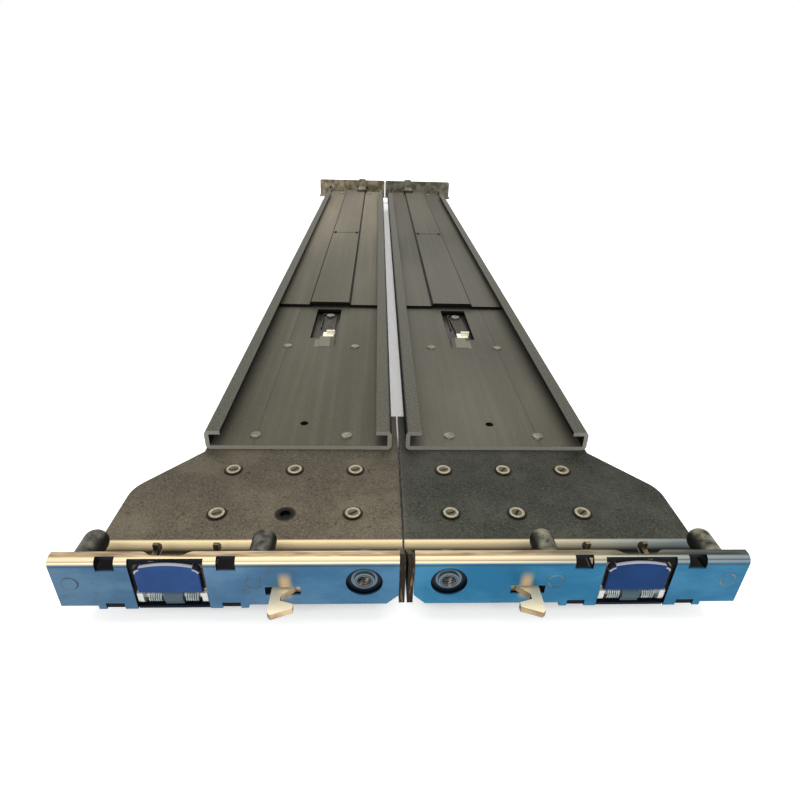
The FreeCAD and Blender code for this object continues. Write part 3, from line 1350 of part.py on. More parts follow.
for item in document.Objects:
    if any(state in ("Invalid", "Error") for state in item.State):
        raise RuntimeError(f"{item.Label} failed: {item.State}")
for piece in pieces:
    if piece.Shape.isNull() or not piece.Shape.isValid():
        raise RuntimeError(f"{piece.Label} has no valid shape")

os.makedirs("parts", exist_ok=True)
for piece in pieces:
    piece.Shape.exportStep(f"parts/{piece.Label}.step")
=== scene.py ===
import json
import math

import bpy
import numpy as np
from mathutils import Matrix, Vector


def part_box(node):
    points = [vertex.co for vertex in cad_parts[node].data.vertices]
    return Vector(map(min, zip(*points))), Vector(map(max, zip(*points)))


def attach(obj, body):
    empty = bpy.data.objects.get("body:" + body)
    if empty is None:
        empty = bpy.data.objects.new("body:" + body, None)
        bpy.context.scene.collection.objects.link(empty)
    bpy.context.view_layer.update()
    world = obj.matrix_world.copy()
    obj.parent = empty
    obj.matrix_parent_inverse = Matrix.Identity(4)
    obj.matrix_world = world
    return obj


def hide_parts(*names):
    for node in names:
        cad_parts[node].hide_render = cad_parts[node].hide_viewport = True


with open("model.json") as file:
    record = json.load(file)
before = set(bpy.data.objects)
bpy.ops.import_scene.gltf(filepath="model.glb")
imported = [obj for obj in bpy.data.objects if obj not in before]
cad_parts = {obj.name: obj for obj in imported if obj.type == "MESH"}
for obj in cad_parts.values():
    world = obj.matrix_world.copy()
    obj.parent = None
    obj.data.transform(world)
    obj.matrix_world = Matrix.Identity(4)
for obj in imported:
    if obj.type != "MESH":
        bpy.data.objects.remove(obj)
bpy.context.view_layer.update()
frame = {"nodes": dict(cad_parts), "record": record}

mm = 0.001
sides = {"right": 1.0, "left": -1.0}
mounts = {mount["name"]: mount for mount in frame["record"]["mounts"]}
joints = {joint["name"]: joint for joint in frame["record"]["behaviour"]["joints"]}
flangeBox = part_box("right_mounting_flange")
flangeFace = flangeBox[0].y
flangeTop = flangeBox[1].z
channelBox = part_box("right_front_channel")
plateTop = channelBox[0].z
railLine = (channelBox[0].x + channelBox[1].x) / 2


# Nodes

# Puts a number, a colour or another node's output into a socket
def socketValue(links, socket, value):
    if isinstance(value, bpy.types.NodeSocket):
        links.new(value, socket)
    elif isinstance(value, (tuple, list)) and len(value) == 3 and socket.type == "RGBA":
        socket.default_value = (*value, 1.0)
    else:
        socket.default_value = value


def mathsNode(tree, operation, *values):
    node = tree.nodes.new("ShaderNodeMath")
    node.operation = operation
    for socket, value in zip(node.inputs, values):
        socketValue(tree.links, socket, value)
    return node.outputs[0]


# Carries a value from the span low to high to the span toLow to toHigh
def rangeNode(tree, value, low, high, toLow=0.0, toHigh=1.0, kind="SMOOTHSTEP"):
    node = tree.nodes.new("ShaderNodeMapRange")
    node.interpolation_type = kind
    socketValue(tree.links, node.inputs["Value"], value)
    for name, number in (("From Min", low), ("From Max", high), ("To Min", toLow), ("To Max", toHigh)):
        node.inputs[name].default_value = number
    return node.outputs["Result"]


# Camera, lamps and floor

cameraLook = {
    "place": (-0.0078, -0.4189, 0.1226),
    "pitch": 29.15,  # degrees down
    "yaw": 2.72,  # degrees towards the right-hand rail
    "roll": 1.77,
    "lens": 24.98,
    "sensor": 36.0,
    "clip": 0.01,
}
lampLook = {
    "above": {"place": (0.0, 0.15, 1.1), "aim": (0.0, 0.1, 0.0), "size": (1.2, 1.6), "power": 9.0,
              "colour": (1.0, 0.97, 0.92)},
    "front": {"place": (-0.25, -1.25, 0.55), "aim": (0.0, -0.3, 0.0), "size": (0.9, 0.5), "power": 5.0,
              "colour": (0.93, 0.97, 1.0)},
    "back": {"place": (0.0, 1.3, 0.7), "aim": (0.0, 0.0, 0.0), "size": (0.8, 0.5), "power": 1.2,
             "colour": (1.0, 0.95, 0.88)},
}
backdropLook = {
    "colour": (1.0, 1.0, 1.0), "seenStrength": 1.0, "lightStrength": 0.55,
    "floorColour": (0.86, 0.86, 0.86), "floorRoughness": 0.9, "floorSize": 6.0,
    "nearGlow": 0.55, "farGlow": 1.0, "nearRadius": 0.42, "farRadius": 1.1,
    "gapReach": 0.08, "gapDark": 0.09, "gapPale": 0.19, "gapRays": 16,
}


def addCamera(look):
    camera = bpy.data.cameras.new("viewCamera")
    camera.lens = look["lens"]
    camera.sensor_width = look["sensor"]
    camera.clip_start = look["clip"]
    holder = bpy.data.objects.new("viewCamera", camera)
    holder.location = look["place"]
    turns = ((-look["yaw"], "Z"), (90.0 - look["pitch"], "X"), (look["roll"], "Z"))
    turned = Matrix.Identity(3)
    for angle, axis in turns:
        turned = turned @ Matrix.Rotation(math.radians(angle), 3, axis)
    holder.rotation_euler = turned.to_euler()
    bpy.context.scene.collection.objects.link(holder)
    bpy.context.scene.camera = holder


def addLamp(name, look):
    lamp = bpy.data.lights.new(name, "AREA")
    lamp.shape = "RECTANGLE"
    lamp.size, lamp.size_y = look["size"]
    lamp.energy = look["power"]
    lamp.color = look["colour"]
    holder = bpy.data.objects.new(name, lamp)
    holder.location = look["place"]
    aim = Vector(look["aim"]) - Vector(look["place"])
    holder.rotation_euler = aim.to_track_quat("-Z", "Y").to_euler()
    bpy.context.scene.collection.objects.link(holder)


# 1 for camera, glossy and transmission rays, 0 for the rays that only light the object
def seenOrLit(tree):
    path = tree.nodes.new("ShaderNodeLightPath").outputs
    seen = mathsNode(tree, "MAXIMUM", path["Is Camera Ray"], path["Is Glossy Ray"])
    return mathsNode(tree, "MAXIMUM", seen, path["Is Transmission Ray"])


def addWorld(look):
    world = bpy.data.worlds.new("paleRoom")
    bpy.context.scene.world = world
    world.use_nodes = True
    tree = world.node_tree
    background = tree.nodes["Background"].inputs
    background["Color"].default_value = (*look["colour"], 1.0)
    strength = rangeNode(tree, seenOrLit(tree), 0.0, 1.0, look["lightStrength"], look["seenStrength"], "LINEAR")
    tree.links.new(strength, background["Strength"])


# A pale floor that takes the rails' shadow near them and fades into the backdrop further out
def addFloor(look):
    size = look["floorSize"]
    mesh = bpy.data.meshes.new("paleFloor")
    corners = [(-size, -size, 0.0), (size, -size, 0.0), (size, size, 0.0), (-size, size, 0.0)]
    mesh.from_pydata(corners, [], [(0, 1, 2, 3)])
    floor = bpy.data.objects.new("paleFloor", mesh)
    bpy.context.scene.collection.objects.link(floor)
    material = bpy.data.materials.new("paleFloor")
    material.use_nodes = True
    tree = material.node_tree
    shader = tree.nodes["Principled BSDF"].inputs
    shader["Base Color"].default_value = (*look["floorColour"], 1.0)
    shader["Roughness"].default_value = look["floorRoughness"]
    away = tree.nodes.new("ShaderNodeVectorMath")
    away.operation = "LENGTH"
    tree.links.new(tree.nodes.new("ShaderNodeTexCoord").outputs["Object"], away.inputs[0])
    radii, glows = (look["nearRadius"], look["farRadius"]), (look["nearGlow"], look["farGlow"])
    fade = rangeNode(tree, away.outputs["Value"], *radii, *glows)
    # no glow at the bottom of a gap so narrow that hardly any sky is seen from there
    sky = tree.nodes.new("ShaderNodeAmbientOcclusion")
    sky.samples = look["gapRays"]
    sky.inputs["Distance"].default_value = look["gapReach"]
    skyShare = rangeNode(tree, sky.outputs["AO"], look["gapDark"], look["gapPale"], kind="LINEAR")
    glow = mathsNode(tree, "MULTIPLY", mathsNode(tree, "MULTIPLY", seenOrLit(tree), fade), skyShare)
    shader["Emission Color"].default_value = (1.0, 1.0, 1.0, 1.0)
    tree.links.new(glow, shader["Emission Strength"])
    mesh.materials.append(material)


addCamera(cameraLook)
for name, look in lampLook.items():
    addLamp(name + "Lamp", look)
addWorld(backdropLook)
addFloor(backdropLook)
bpy.context.scene.view_settings.view_transform = "Standard"
print("stage ready")


# Materials

specularLevel = 0.12
railSeam = 2.0 * mm  # half the strip in which the left rail's colours give way to the right rail's
upward, downward, forward = (0.0, 0.0, 1.0), (0.0, 0.0, -1.0), (0.0, -1.0, 0.0)
rolledOver = (0.0, -math.sqrt(0.5), math.sqrt(0.5))  # halfway between forward and upward


# One material and the few nodes that the finishes below are put together from
class Finish:
    def __init__(self, name):
        self.material = bpy.data.materials.new(name)
        self.material.use_nodes = True
        self.tree = self.material.node_tree
        self.shader = self.tree.nodes["Principled BSDF"]
        self.shader.inputs["Specular IOR Level"].default_value = specularLevel
        self.place = self.node("TexCoord").outputs["Object"]
        self.normal = self.node("NewGeometry").outputs["Normal"]

    def node(self, kind):
        return self.tree.nodes.new("ShaderNode" + kind)

    def link(self, output, socket):
        self.tree.links.new(output, socket)

    def put(self, **values):
        for name, value in values.items():
            socketValue(self.tree.links, self.shader.inputs[name.replace("_", " ")], value)

    def noise(self, scale, stretch=(1.0, 1.0, 1.0), detail=3.0, roughness=0.5):
        mapping = self.node("Mapping")
        mapping.inputs["Scale"].default_value = stretch
        self.link(self.place, mapping.inputs["Vector"])
        node = self.node("TexNoise")
        for name, value in (("Scale", scale), ("Detail", detail), ("Roughness", roughness)):
            node.inputs[name].default_value = value
        self.link(mapping.outputs["Vector"], node.inputs["Vector"])
        return node.outputs["Fac"]

    def maths(self, operation, *values):
        return mathsNode(self.tree, operation, *values)

    # Smooth step of a value from low to high
    def span(self, value, low, high, toLow=0.0, toHigh=1.0):
        return rangeNode(self.tree, value, low, high, toLow, toHigh)

    # The same step downwards, from 1 to 0
    def fall(self, value, low, high):
        return self.span(value, low, high, 1.0, 0.0)

    def mix(self, factor, first, second, blend="MIX"):
        node = self.node("Mix")
        node.data_type = "RGBA"
        node.blend_type = blend
        for socket, value in ((0, factor), (6, first), (7, second)):  # 6 and 7 are the two colours
            socketValue(self.tree.links, node.inputs[socket], value)
        return node.outputs[2]

    def along(self, name):
        node = self.node("SeparateXYZ")
        self.link(self.place, node.inputs[0])
        return node.outputs[name]

    # 1 inside a span of a value or an axis, 0 outside it, with soft edges
    def between(self, value, low, high, soft=0.3 * mm):
        place = self.along(value) if isinstance(value, str) else value
        return self.both(self.span(place, low - soft, low + soft), self.fall(place, high - soft, high + soft))

    # Multiplies a colour by a tint where a mask is 1
    def tint(self, mask, colour, tone):
        return self.mix(mask, colour, self.mix(1.0, colour, tone, "MULTIPLY"))

    # Product of several masks
    def both(self, *masks):
        product = masks[0]
        for mask in masks[1:]:
            product = self.maths("MULTIPLY", product, mask)
        return product

    # Distance of a value from a place
    def away(self, value, place):
        return self.maths("ABSOLUTE", self.maths("SUBTRACT", value, place))

    # Distance from the nearest of a row of places, the first one given and the rest a step apart
    def fromRow(self, value, first, step):
        offset = self.maths("SUBTRACT", value, first)
        return self.maths("ABSOLUTE", self.maths("WRAP", offset, step / 2, -step / 2))

    # Distance from the plane midway between the rails, the same on both of them
    def across(self):
        return self.maths("ABSOLUTE", self.along("X"))

    # Distance behind the front flange's face
    def run(self):
        return self.maths("SUBTRACT", self.along("Y"), flangeFace)

    # Length of a flat vector
    def reach(self, first, second):
        squares = [self.maths("MULTIPLY", part, part) for part in (first, second)]
        return self.maths("SQRT", self.maths("ADD", *squares))

    # 1 where the surface faces a direction: its normal's share of it is past full, and 0 where it is under start
    def faces(self, direction, start=0.5, full=0.9):
        node = self.node("VectorMath")
        node.operation = "DOT_PRODUCT"
        self.link(self.normal, node.inputs[0])
        node.inputs[1].default_value = direction
        return self.span(node.outputs["Value"], start, full)

    # The same for either way along X
    def facesAside(self, start=0.5, full=0.9):
        node = self.node("SeparateXYZ")
        self.link(self.normal, node.inputs[0])
        return self.span(self.maths("ABSOLUTE", node.outputs["X"]), start, full)

    # One colour on the left rail and another on the right one; the rails are one steel, so the difference is painted
    # light and shade
    def eitherRail(self, left, right):
        return self.mix(self.span(self.along("X"), -railSeam, railSeam), left, right)

    def bump(self, height, strength, distance):
        node = self.node("Bump")
        node.inputs["Strength"].default_value = strength
        node.inputs["Distance"].default_value = distance
        self.link(height, node.inputs["Height"])
        self.link(node.outputs["Normal"], self.shader.inputs["Normal"])


# The painted gold highlights and reflections of the right rail turn to a greyer silver towards its outer end
silverLook = {"tone": (0.28, 0.42, 0.70), "span": (10.0 * mm, 86.0 * mm)}


def silvered(finish, colour):
    return finish.tint(finish.span(finish.along("X"), *silverLook["span"]), colour, silverLook["tone"])


flangeLook = {
    "leftFace": (0.050, 0.128, 0.228), "rightFace": (0.016, 0.132, 0.255),
    "leftPale": (0.098, 0.195, 0.305), "rightPale": (0.044, 0.198, 0.335), "cloudScale": 46.0,
    "leftEnd": (0.80, 0.82, 0.82), "leftEndSpan": (-80.0 * mm, -50.0 * mm),
    "leftInner": (0.66, 0.92, 0.98), "leftInnerSpan": (-45.0 * mm, -10.0 * mm),
    "rightEnd": (0.72, 0.86, 0.90), "rightEndSpan": (55.0 * mm, 82.0 * mm),
    "smudge": (0.060, 0.070, 0.060), "smudgeScale": 120.0, "smudgeShare": 0.45,
    "glow": (0.62, 0.46, 0.26), "glowPlace": 30.2 * mm, "glowDrop": 1.4 * mm, "glowShare": 0.85,
    "glowAcross": (0.3 * mm, 2.2 * mm), "glowUp": (1.5 * mm, 5.5 * mm),
    "line": (0.050, 0.055, 0.055), "lineLevels": (flangeTop - 2.2 * mm, flangeTop - 1.8 * mm), "lineShare": 0.8,
    "lip": (0.235, 0.170, 0.100), "lipPale": (0.50, 0.39, 0.25), "lipMottleScale": 260.0,
    "lipRight": (0.6, 0.62, 0.55), "lipRightSpan": (0.0, 50.0 * mm),
    "lipLevels": (flangeTop - 0.5 * mm, flangeTop - 0.3 * mm),
    "bend": (0.80, 0.66, 0.42), "bendLevels": (flangeTop - 2.6 * mm, flangeTop - 2.0 * mm),
    "cut": (0.007, 0.009, 0.014), "cutLevels": (flangeTop - 0.9 * mm, flangeTop - 0.7 * mm),
    "cutBack": (0.3 * mm, 0.5 * mm), "grainScale": 1500.0, "metallic": 0.55, "roughness": 0.42,
}


# Blue on the face, partly the passivate's own tint and partly painted reflection; painted gold highlight on the
# bend and painted gold reflection on the lip; painted shade on the cut edges
def flangeSteel():
    finish = Finish("flangeSteel")
    look = flangeLook
    level, side = finish.along("Z"), finish.along("X")
    clouds = finish.noise(look["cloudScale"], (1.0, 1.0, 2.0), detail=5.0, roughness=0.6)
    face = finish.eitherRail(look["leftFace"], look["rightFace"])
    pale = finish.eitherRail(look["leftPale"], look["rightPale"])
    colour = finish.mix(finish.span(clouds, 0.34, 0.68), face, pale)
    onLeft = finish.fall(side, -railSeam, railSeam)
    # painted reflection: the face paler or darker towards the left rail's ends and inner side and the right rail's
    # end
    for name, mask in (
        ("leftEnd", finish.both(finish.fall(side, *look["leftEndSpan"]), onLeft)),
        ("leftInner", finish.both(finish.span(side, *look["leftInnerSpan"]), onLeft)),
        ("rightEnd", finish.span(side, *look["rightEndSpan"])),
    ):
        colour = finish.tint(mask, colour, look[name])
    smudges = finish.span(finish.noise(look["smudgeScale"], (1.0, 1.0, 1.6), detail=6.0, roughness=0.7), 0.58, 0.74)
    colour = finish.mix(finish.maths("MULTIPLY", smudges, look["smudgeShare"]), colour, look["smudge"])
    # a warm reflection above the hook's slot
    slotTop = mounts["right_server_screw"]["pos_m"][2] - look["glowDrop"]
    beside = finish.span(finish.away(finish.across(), look["glowPlace"]), *look["glowAcross"], look["glowShare"], 0.0)
    colour = finish.mix(
        finish.both(beside, finish.fall(finish.away(level, slotTop), *look["glowUp"])), colour, look["glow"])
    line = finish.between(level, *look["lineLevels"], 0.2 * mm)
    colour = finish.mix(finish.maths("MULTIPLY", line, look["lineShare"]), colour, look["line"])
    # painted reflection: the lip's upward face gold, mottled between two tones and greyer on the right rail
    lipMottle = finish.span(finish.noise(look["lipMottleScale"], (0.35, 3.0, 1.0), detail=4.0), 0.35, 0.68)
    lip = finish.mix(lipMottle, look["lip"], look["lipPale"])
    lip = silvered(finish, finish.tint(finish.span(side, *look["lipRightSpan"]), lip, look["lipRight"]))
    top = finish.span(level, *look["lipLevels"])
    colour = finish.mix(finish.both(finish.faces(upward, 0.80, 0.97), top), colour, lip)
    # painted highlight on the bend rolling over from the face to the lip
    roll = finish.both(finish.faces(rolledOver, 0.84, 0.96), finish.span(level, *look["bendLevels"]))
    colour = finish.mix(roll, colour, silvered(finish, look["bend"]))
    # cut edges, painted shade: sideways, downwards, upwards below the lip, and forwards behind the face
    behind = finish.span(finish.run(), *look["cutBack"])
    for cut in (
        finish.facesAside(0.6, 0.9),
        finish.faces(downward),
        finish.both(finish.faces(upward, 0.3, 0.6), finish.fall(level, *look["cutLevels"]), behind),
        finish.both(finish.faces(forward, 0.6, 0.9), behind),
    ):
        colour = finish.mix(cut, colour, look["cut"])
    finish.put(Base_Color=colour, Metallic=look["metallic"], Roughness=look["roughness"])
    finish.bump(finish.noise(look["grainScale"], detail=3.0), 0.05, 0.0003)
    return finish.material


plateLook = {
    "left": (0.066, 0.056, 0.040), "right": (0.026, 0.028, 0.022), "leftPale": (0.200, 0.172, 0.126),
    "rightPale": (0.104, 0.103, 0.082), "cloudScale": 60.0, "speckleScale": 1700.0, "pit": (0.006, 0.005, 0.004),
    "front": (1.32, 1.34, 1.30), "frontRun": (22.0 * mm, 48.0 * mm),
    "rivetPlace": (14.8 * mm, 30.8 * mm), "rivetStep": (20.2 * mm, 21.8 * mm),
    "rivetAcross": (5.0 * mm, 64.0 * mm), "rivetRun": (24.0 * mm, 60.0 * mm),
    "halo": (0.012, 0.010, 0.007), "haloRadii": (2.8 * mm, 3.45 * mm), "haloShare": 0.95,
    "hole": (0.003, 0.003, 0.003), "holeRadii": (2.1 * mm, 2.3 * mm),
    "holeSide": (-40.0 * mm, -30.0 * mm), "holeRun": (26.0 * mm, 36.0 * mm),
    "step": (0.86, 0.70, 0.42), "stepFoot": (0.055, 0.038, 0.022),
    "stepLevels": (plateTop - 2.1 * mm, plateTop - 0.7 * mm),
    "hidden": (0.004, 0.004, 0.005), "hiddenLevels": (plateTop - 2.4 * mm, plateTop - 2.2 * mm),
    "knuckle": (0.075, 0.110, 0.135), "knuckleLevels": (plateTop - 3.7 * mm, plateTop + 0.5 * mm),
    "knuckleAcross": (48.0 * mm, 69.0 * mm), "knuckleRun": (4.4 * mm, 4.9 * mm),
    "cover": (0.004, 0.007, 0.014), "coverLevels": (plateTop - 4.0 * mm, plateTop - 3.8 * mm),
    "shelfRun": (16.0 * mm, 17.0 * mm),
    "gap": (0.022, 0.017, 0.011), "gapGold": (0.24, 0.17, 0.085),
    "gapAcross": (2.5 * mm, 3.1 * mm), "gapRun": (4.0 * mm, 5.0 * mm),
    "metallic": 0.45, "roughness": 0.58,
}


# Speckled grey-brown, with a painted gold highlight on the bend down to the shelf behind the flange
def plateSteel():
    finish = Finish("plateSteel")
    look = plateLook
    level, length, across = finish.along("Z"), finish.run(), finish.across()
    # painted shade: the right rail's plate darker than the left one
    plain = finish.eitherRail(look["left"], look["right"])
    pale = finish.eitherRail(look["leftPale"], look["rightPale"])
    clouds = finish.span(finish.noise(look["cloudScale"], detail=5.0, roughness=0.6), 0.38, 0.70, 0.0, 0.30)
    colour = finish.mix(clouds, plain, pale)
    speckle = finish.noise(look["speckleScale"], detail=3.0, roughness=0.75)
    colour = finish.mix(finish.span(speckle, 0.46, 0.68, 0.0, 0.42), colour, pale)
    pits = finish.span(finish.noise(look["speckleScale"] / 2, detail=2.0, roughness=0.7), 0.42, 0.30, 0.0, 0.45)
    colour = finish.mix(pits, colour, look["pit"])
    colour = finish.tint(finish.fall(length, *look["frontRun"]), colour, look["front"])
    # a dark ring round each rivet head, painted shade with some grime, and a near-black disc of painted shade in and
    # round the left rail's one open hole
    around = finish.reach(finish.fromRow(across, look["rivetPlace"][0], look["rivetStep"][0]),
                          finish.fromRow(length, look["rivetPlace"][1], look["rivetStep"][1]))
    rows = finish.both(finish.between(across, *look["rivetAcross"]), finish.between(length, *look["rivetRun"]))
    halo = finish.span(around, *look["haloRadii"], look["haloShare"], 0.0)
    colour = finish.mix(finish.both(halo, rows), colour, look["halo"])
    openPlace = finish.both(finish.between("X", *look["holeSide"]), finish.between(length, *look["holeRun"]),
                            finish.fall(around, *look["holeRadii"]))
    colour = finish.mix(openPlace, colour, look["hole"])
    # painted highlight on the step, darker towards its foot
    step = finish.mix(finish.span(level, *look["stepLevels"]), look["stepFoot"], look["step"])
    colour = finish.mix(finish.faces(rolledOver, 0.74, 0.90), colour, silvered(finish, step))
    # the shelf, seen only through the window and the slots, painted near-black as shade, and what the lever turns on
    front = finish.fall(length, *look["shelfRun"])
    shelf = finish.fall(level, *look["hiddenLevels"])
    colour = finish.mix(finish.both(shelf, front), colour, look["hidden"])
    knuckle = finish.both(finish.between(level, *look["knuckleLevels"], 0.1 * mm),
                          finish.fall(length, *look["knuckleRun"]), finish.between(across, *look["knuckleAcross"]))
    colour = finish.mix(knuckle, colour, look["knuckle"])
    # painted shade: the low front below the shelf near-black
    low = finish.fall(level, *look["coverLevels"])
    colour = finish.mix(finish.both(low, front), colour, look["cover"])
    # the brackets' inner ends, seen in the gap between the flanges, painted dark as shade with gold streaks
    ends = finish.both(finish.fall(across, *look["gapAcross"]), finish.fall(length, *look["gapRun"]))
    streak = finish.span(finish.noise(1.0, (1600.0, 60.0, 170.0), detail=2.0), 0.56, 0.72)
    colour = finish.mix(ends, colour, finish.mix(streak, look["gap"], look["gapGold"]))
    finish.put(Base_Color=colour, Metallic=look["metallic"], Roughness=look["roughness"])
    finish.bump(speckle, 0.22, 0.0002)
    return finish.material


channelLook = {
    "web": (0.072, 0.068, 0.049), "webPale": (0.104, 0.096, 0.072), "cloudScale": 11.0,
    "streak": (0.150, 0.140, 0.108), "gritScale": 1300.0,
    "rearLeft": (1.95, 1.82, 1.68), "rearRight": (0.72, 0.67, 0.60), "rearRun": (200.0 * mm, 560.0 * mm),
    "right": (0.90, 0.93, 0.97), "rightSpan": (0.0, 5.0 * mm),
    "frontRight": (1.22, 1.20, 1.22), "frontRun": (90.0 * mm, 170.0 * mm),
    "ribLeft": (0.70, 0.72, 0.74), "ribRight": (1.22, 1.24, 1.24), "ribAside": (11.2 * mm, 11.8 * mm),
    "ribRun": (280.0 * mm, 560.0 * mm),
    "mark": (0.010, 0.009, 0.008), "markPlace": 384.0 * mm, "markHalf": 9.4 * mm, "markReach": 3.6 * mm,
    "markWidth": (0.7 * mm, 1.3 * mm),
    "tab": (0.175, 0.168, 0.132), "tabRun": (151.5 * mm, 160.2 * mm), "tabAside": (3.5 * mm, 4.1 * mm),
    "line": (0.030, 0.028, 0.020), "lineAcross": (50.9 * mm, 51.5 * mm), "lineShare": 0.35,
    "lip": (0.115, 0.115, 0.100), "lipLevels": (plateTop + 6.6 * mm, plateTop + 7.0 * mm),
    "wall": (0.007, 0.007, 0.006), "frontEdge": (0.36, 0.34, 0.29), "rearEdge": (0.004, 0.004, 0.004),
    "edgeRun": (66.0 * mm, 67.0 * mm), "metallic": 0.40, "roughness": 0.60,
}


# Grey-brown with streaks along the rail, with painted light and shade over its parts; the rear channel also has its
# raised rib and two small pressed marks, and the front one its latch's tab and a faint line
def channelSteel(name, edge, rear):
    finish = Finish(name)
    look = channelLook
    length, across = finish.run(), finish.across()
    aside = finish.away(across, railLine)
    clouds = finish.span(finish.noise(look["cloudScale"], (1.6, 0.5, 1.0), detail=4.0), 0.36, 0.66)
    colour = finish.mix(clouds, look["web"], look["webPale"])
    streaks = finish.noise(1.0, (330.0, 6.0, 330.0), detail=3.0)
    colour = finish.mix(finish.span(streaks, 0.42, 0.80, 0.0, 0.30), colour, look["streak"])
    grit = finish.noise(look["gritScale"], detail=2.0, roughness=0.7)
    colour = finish.mix(finish.span(grit, 0.50, 0.72, 0.0, 0.34), colour, look["streak"])
    # painted light and shade: the rails lighter or darker, left against right and towards the rear and the front
    ends = finish.eitherRail(look["rearLeft"], look["rearRight"])
    colour = finish.tint(finish.span(length, *look["rearRun"]), colour, ends)
    right = finish.span(finish.along("X"), *look["rightSpan"])
    colour = finish.tint(right, colour, look["right"])
    near = finish.both(finish.fall(length, *look["frontRun"]), right)
    colour = finish.tint(near, colour, look["frontRight"])
    if rear:
        # painted shade on the left rail's rib and painted light on the right one
        ribs = finish.eitherRail(look["ribLeft"], look["ribRight"])
        rib = finish.both(finish.fall(aside, *look["ribAside"]), finish.span(length, *look["ribRun"]))
        colour = finish.tint(rib, colour, ribs)
        place, half = look["markPlace"], look["markReach"]
        strokes = finish.both(finish.fall(finish.away(aside, look["markHalf"]), *look["markWidth"]),
                              finish.between(length, place - half, place + half, 0.5 * mm))
        colour = finish.mix(strokes, colour, look["mark"])
    else:
        tab = finish.both(finish.between(length, *look["tabRun"], 0.2 * mm), finish.fall(aside, *look["tabAside"]))
        colour = finish.mix(tab, colour, look["tab"])
        line = finish.maths("MULTIPLY", finish.between(across, *look["lineAcross"]), look["lineShare"])
        colour = finish.mix(line, colour, look["line"])
    lip = finish.mix(finish.span(grit, 0.40, 0.66), look["web"], look["lip"])
    colour = finish.mix(finish.span(finish.along("Z"), *look["lipLevels"]), colour, lip)
    # painted shade on the walls
    colour = finish.mix(finish.facesAside(0.45, 0.85), colour, look["wall"])
    # forward faces: painted highlight on the front channel's cut edge, painted shade on the rear channel's and
    # further back
    cut = finish.mix(finish.span(length, *look["edgeRun"]), look[edge], look["wall"])
    colour = finish.mix(finish.faces(forward, 0.6, 0.9), colour, cut)
    finish.put(Base_Color=colour, Metallic=look["metallic"], Roughness=look["roughness"])
    finish.bump(finish.noise(1.0, (1800.0, 40.0, 1800.0), detail=2.0), 0.06, 0.0003)
    return finish.material


# Plain steels: two tones in clouds, and where a look gives them a shade for the right rail, a painted highlight on
# the tops and painted shade on the sides, and a painted highlight along one axis
steelLooks = {
    "rearSteel": {
        "dark": (0.135, 0.112, 0.075), "pale": (0.380, 0.325, 0.230), "scale": 170.0, "roughness": 0.55,
        "rightShade": (0.66, 0.72, 0.78), "side": (0.03, 0.03, 0.03), "metallic": 0.4,
    },
    "pinSteel": {
        "dark": (0.018, 0.017, 0.013), "pale": (0.150, 0.145, 0.120), "scale": 330.0, "roughness": 0.5,
        "rightShade": (1.5, 1.5, 1.35), "side": (0.014, 0.014, 0.012), "metallic": 0.5,
    },
    "hookSteel": {
        "dark": (0.34, 0.24, 0.13), "pale": (0.62, 0.48, 0.29), "scale": 260.0, "roughness": 0.38,
        "rightShade": (0.72, 0.72, 0.70), "top": (0.86, 0.74, 0.52), "side": (0.07, 0.05, 0.03),
    },
    "leverSteel": {
        "dark": (0.045, 0.037, 0.024), "pale": (0.150, 0.120, 0.080), "scale": 300.0, "roughness": 0.34,
        "rightShade": (2.2, 2.1, 1.9), "side": (0.040, 0.034, 0.022),
        # painted highlight on the lever's ears
        "highlightPatch": (0.60, 0.60, 0.57), "patchAxis": "Z", "patchSpan": (plateTop - 4.5 * mm, plateTop + 1.3 * mm),
    },
    "latchSteel": {
        "dark": (0.018, 0.015, 0.010), "pale": (0.060, 0.050, 0.036), "scale": 300.0, "roughness": 0.45,
        # painted highlight on the latch's finger tab
        "highlightPatch": (0.96, 0.90, 0.74), "patchAxis": "Y",
        "patchSpan": (flangeFace + 168.6 * mm, flangeFace + 174.4 * mm), "metallic": 0.3,
    },
    "brightSteel": {"dark": (0.38, 0.38, 0.37), "pale": (0.66, 0.65, 0.62), "scale": 300.0, "roughness": 0.28},
    "pivotSteel": {"dark": (0.13, 0.13, 0.12), "pale": (0.30, 0.30, 0.28), "scale": 500.0, "roughness": 0.34},
    "springWire": {"dark": (0.22, 0.26, 0.27), "pale": (0.46, 0.49, 0.48), "scale": 500.0, "roughness": 0.28},
    "rivetSteel": {"dark": (0.120, 0.115, 0.092), "pale": (0.230, 0.215, 0.170), "scale": 500.0, "roughness": 0.36},
    "cageSteel": {"dark": (0.18, 0.17, 0.15), "pale": (0.28, 0.27, 0.24), "scale": 80.0, "roughness": 0.4},
    # dark as painted shade, for the slides seen deep inside the windows
    "slideSteel": {
        "dark": (0.022, 0.020, 0.017), "pale": (0.052, 0.048, 0.042), "scale": 60.0, "roughness": 0.42,
        "metallic": 0.45,
    },
    "ballSteel": {
        "dark": (0.60, 0.60, 0.60), "pale": (0.75, 0.75, 0.75), "scale": 400.0, "roughness": 0.08, "metallic": 1.0,
    },
}


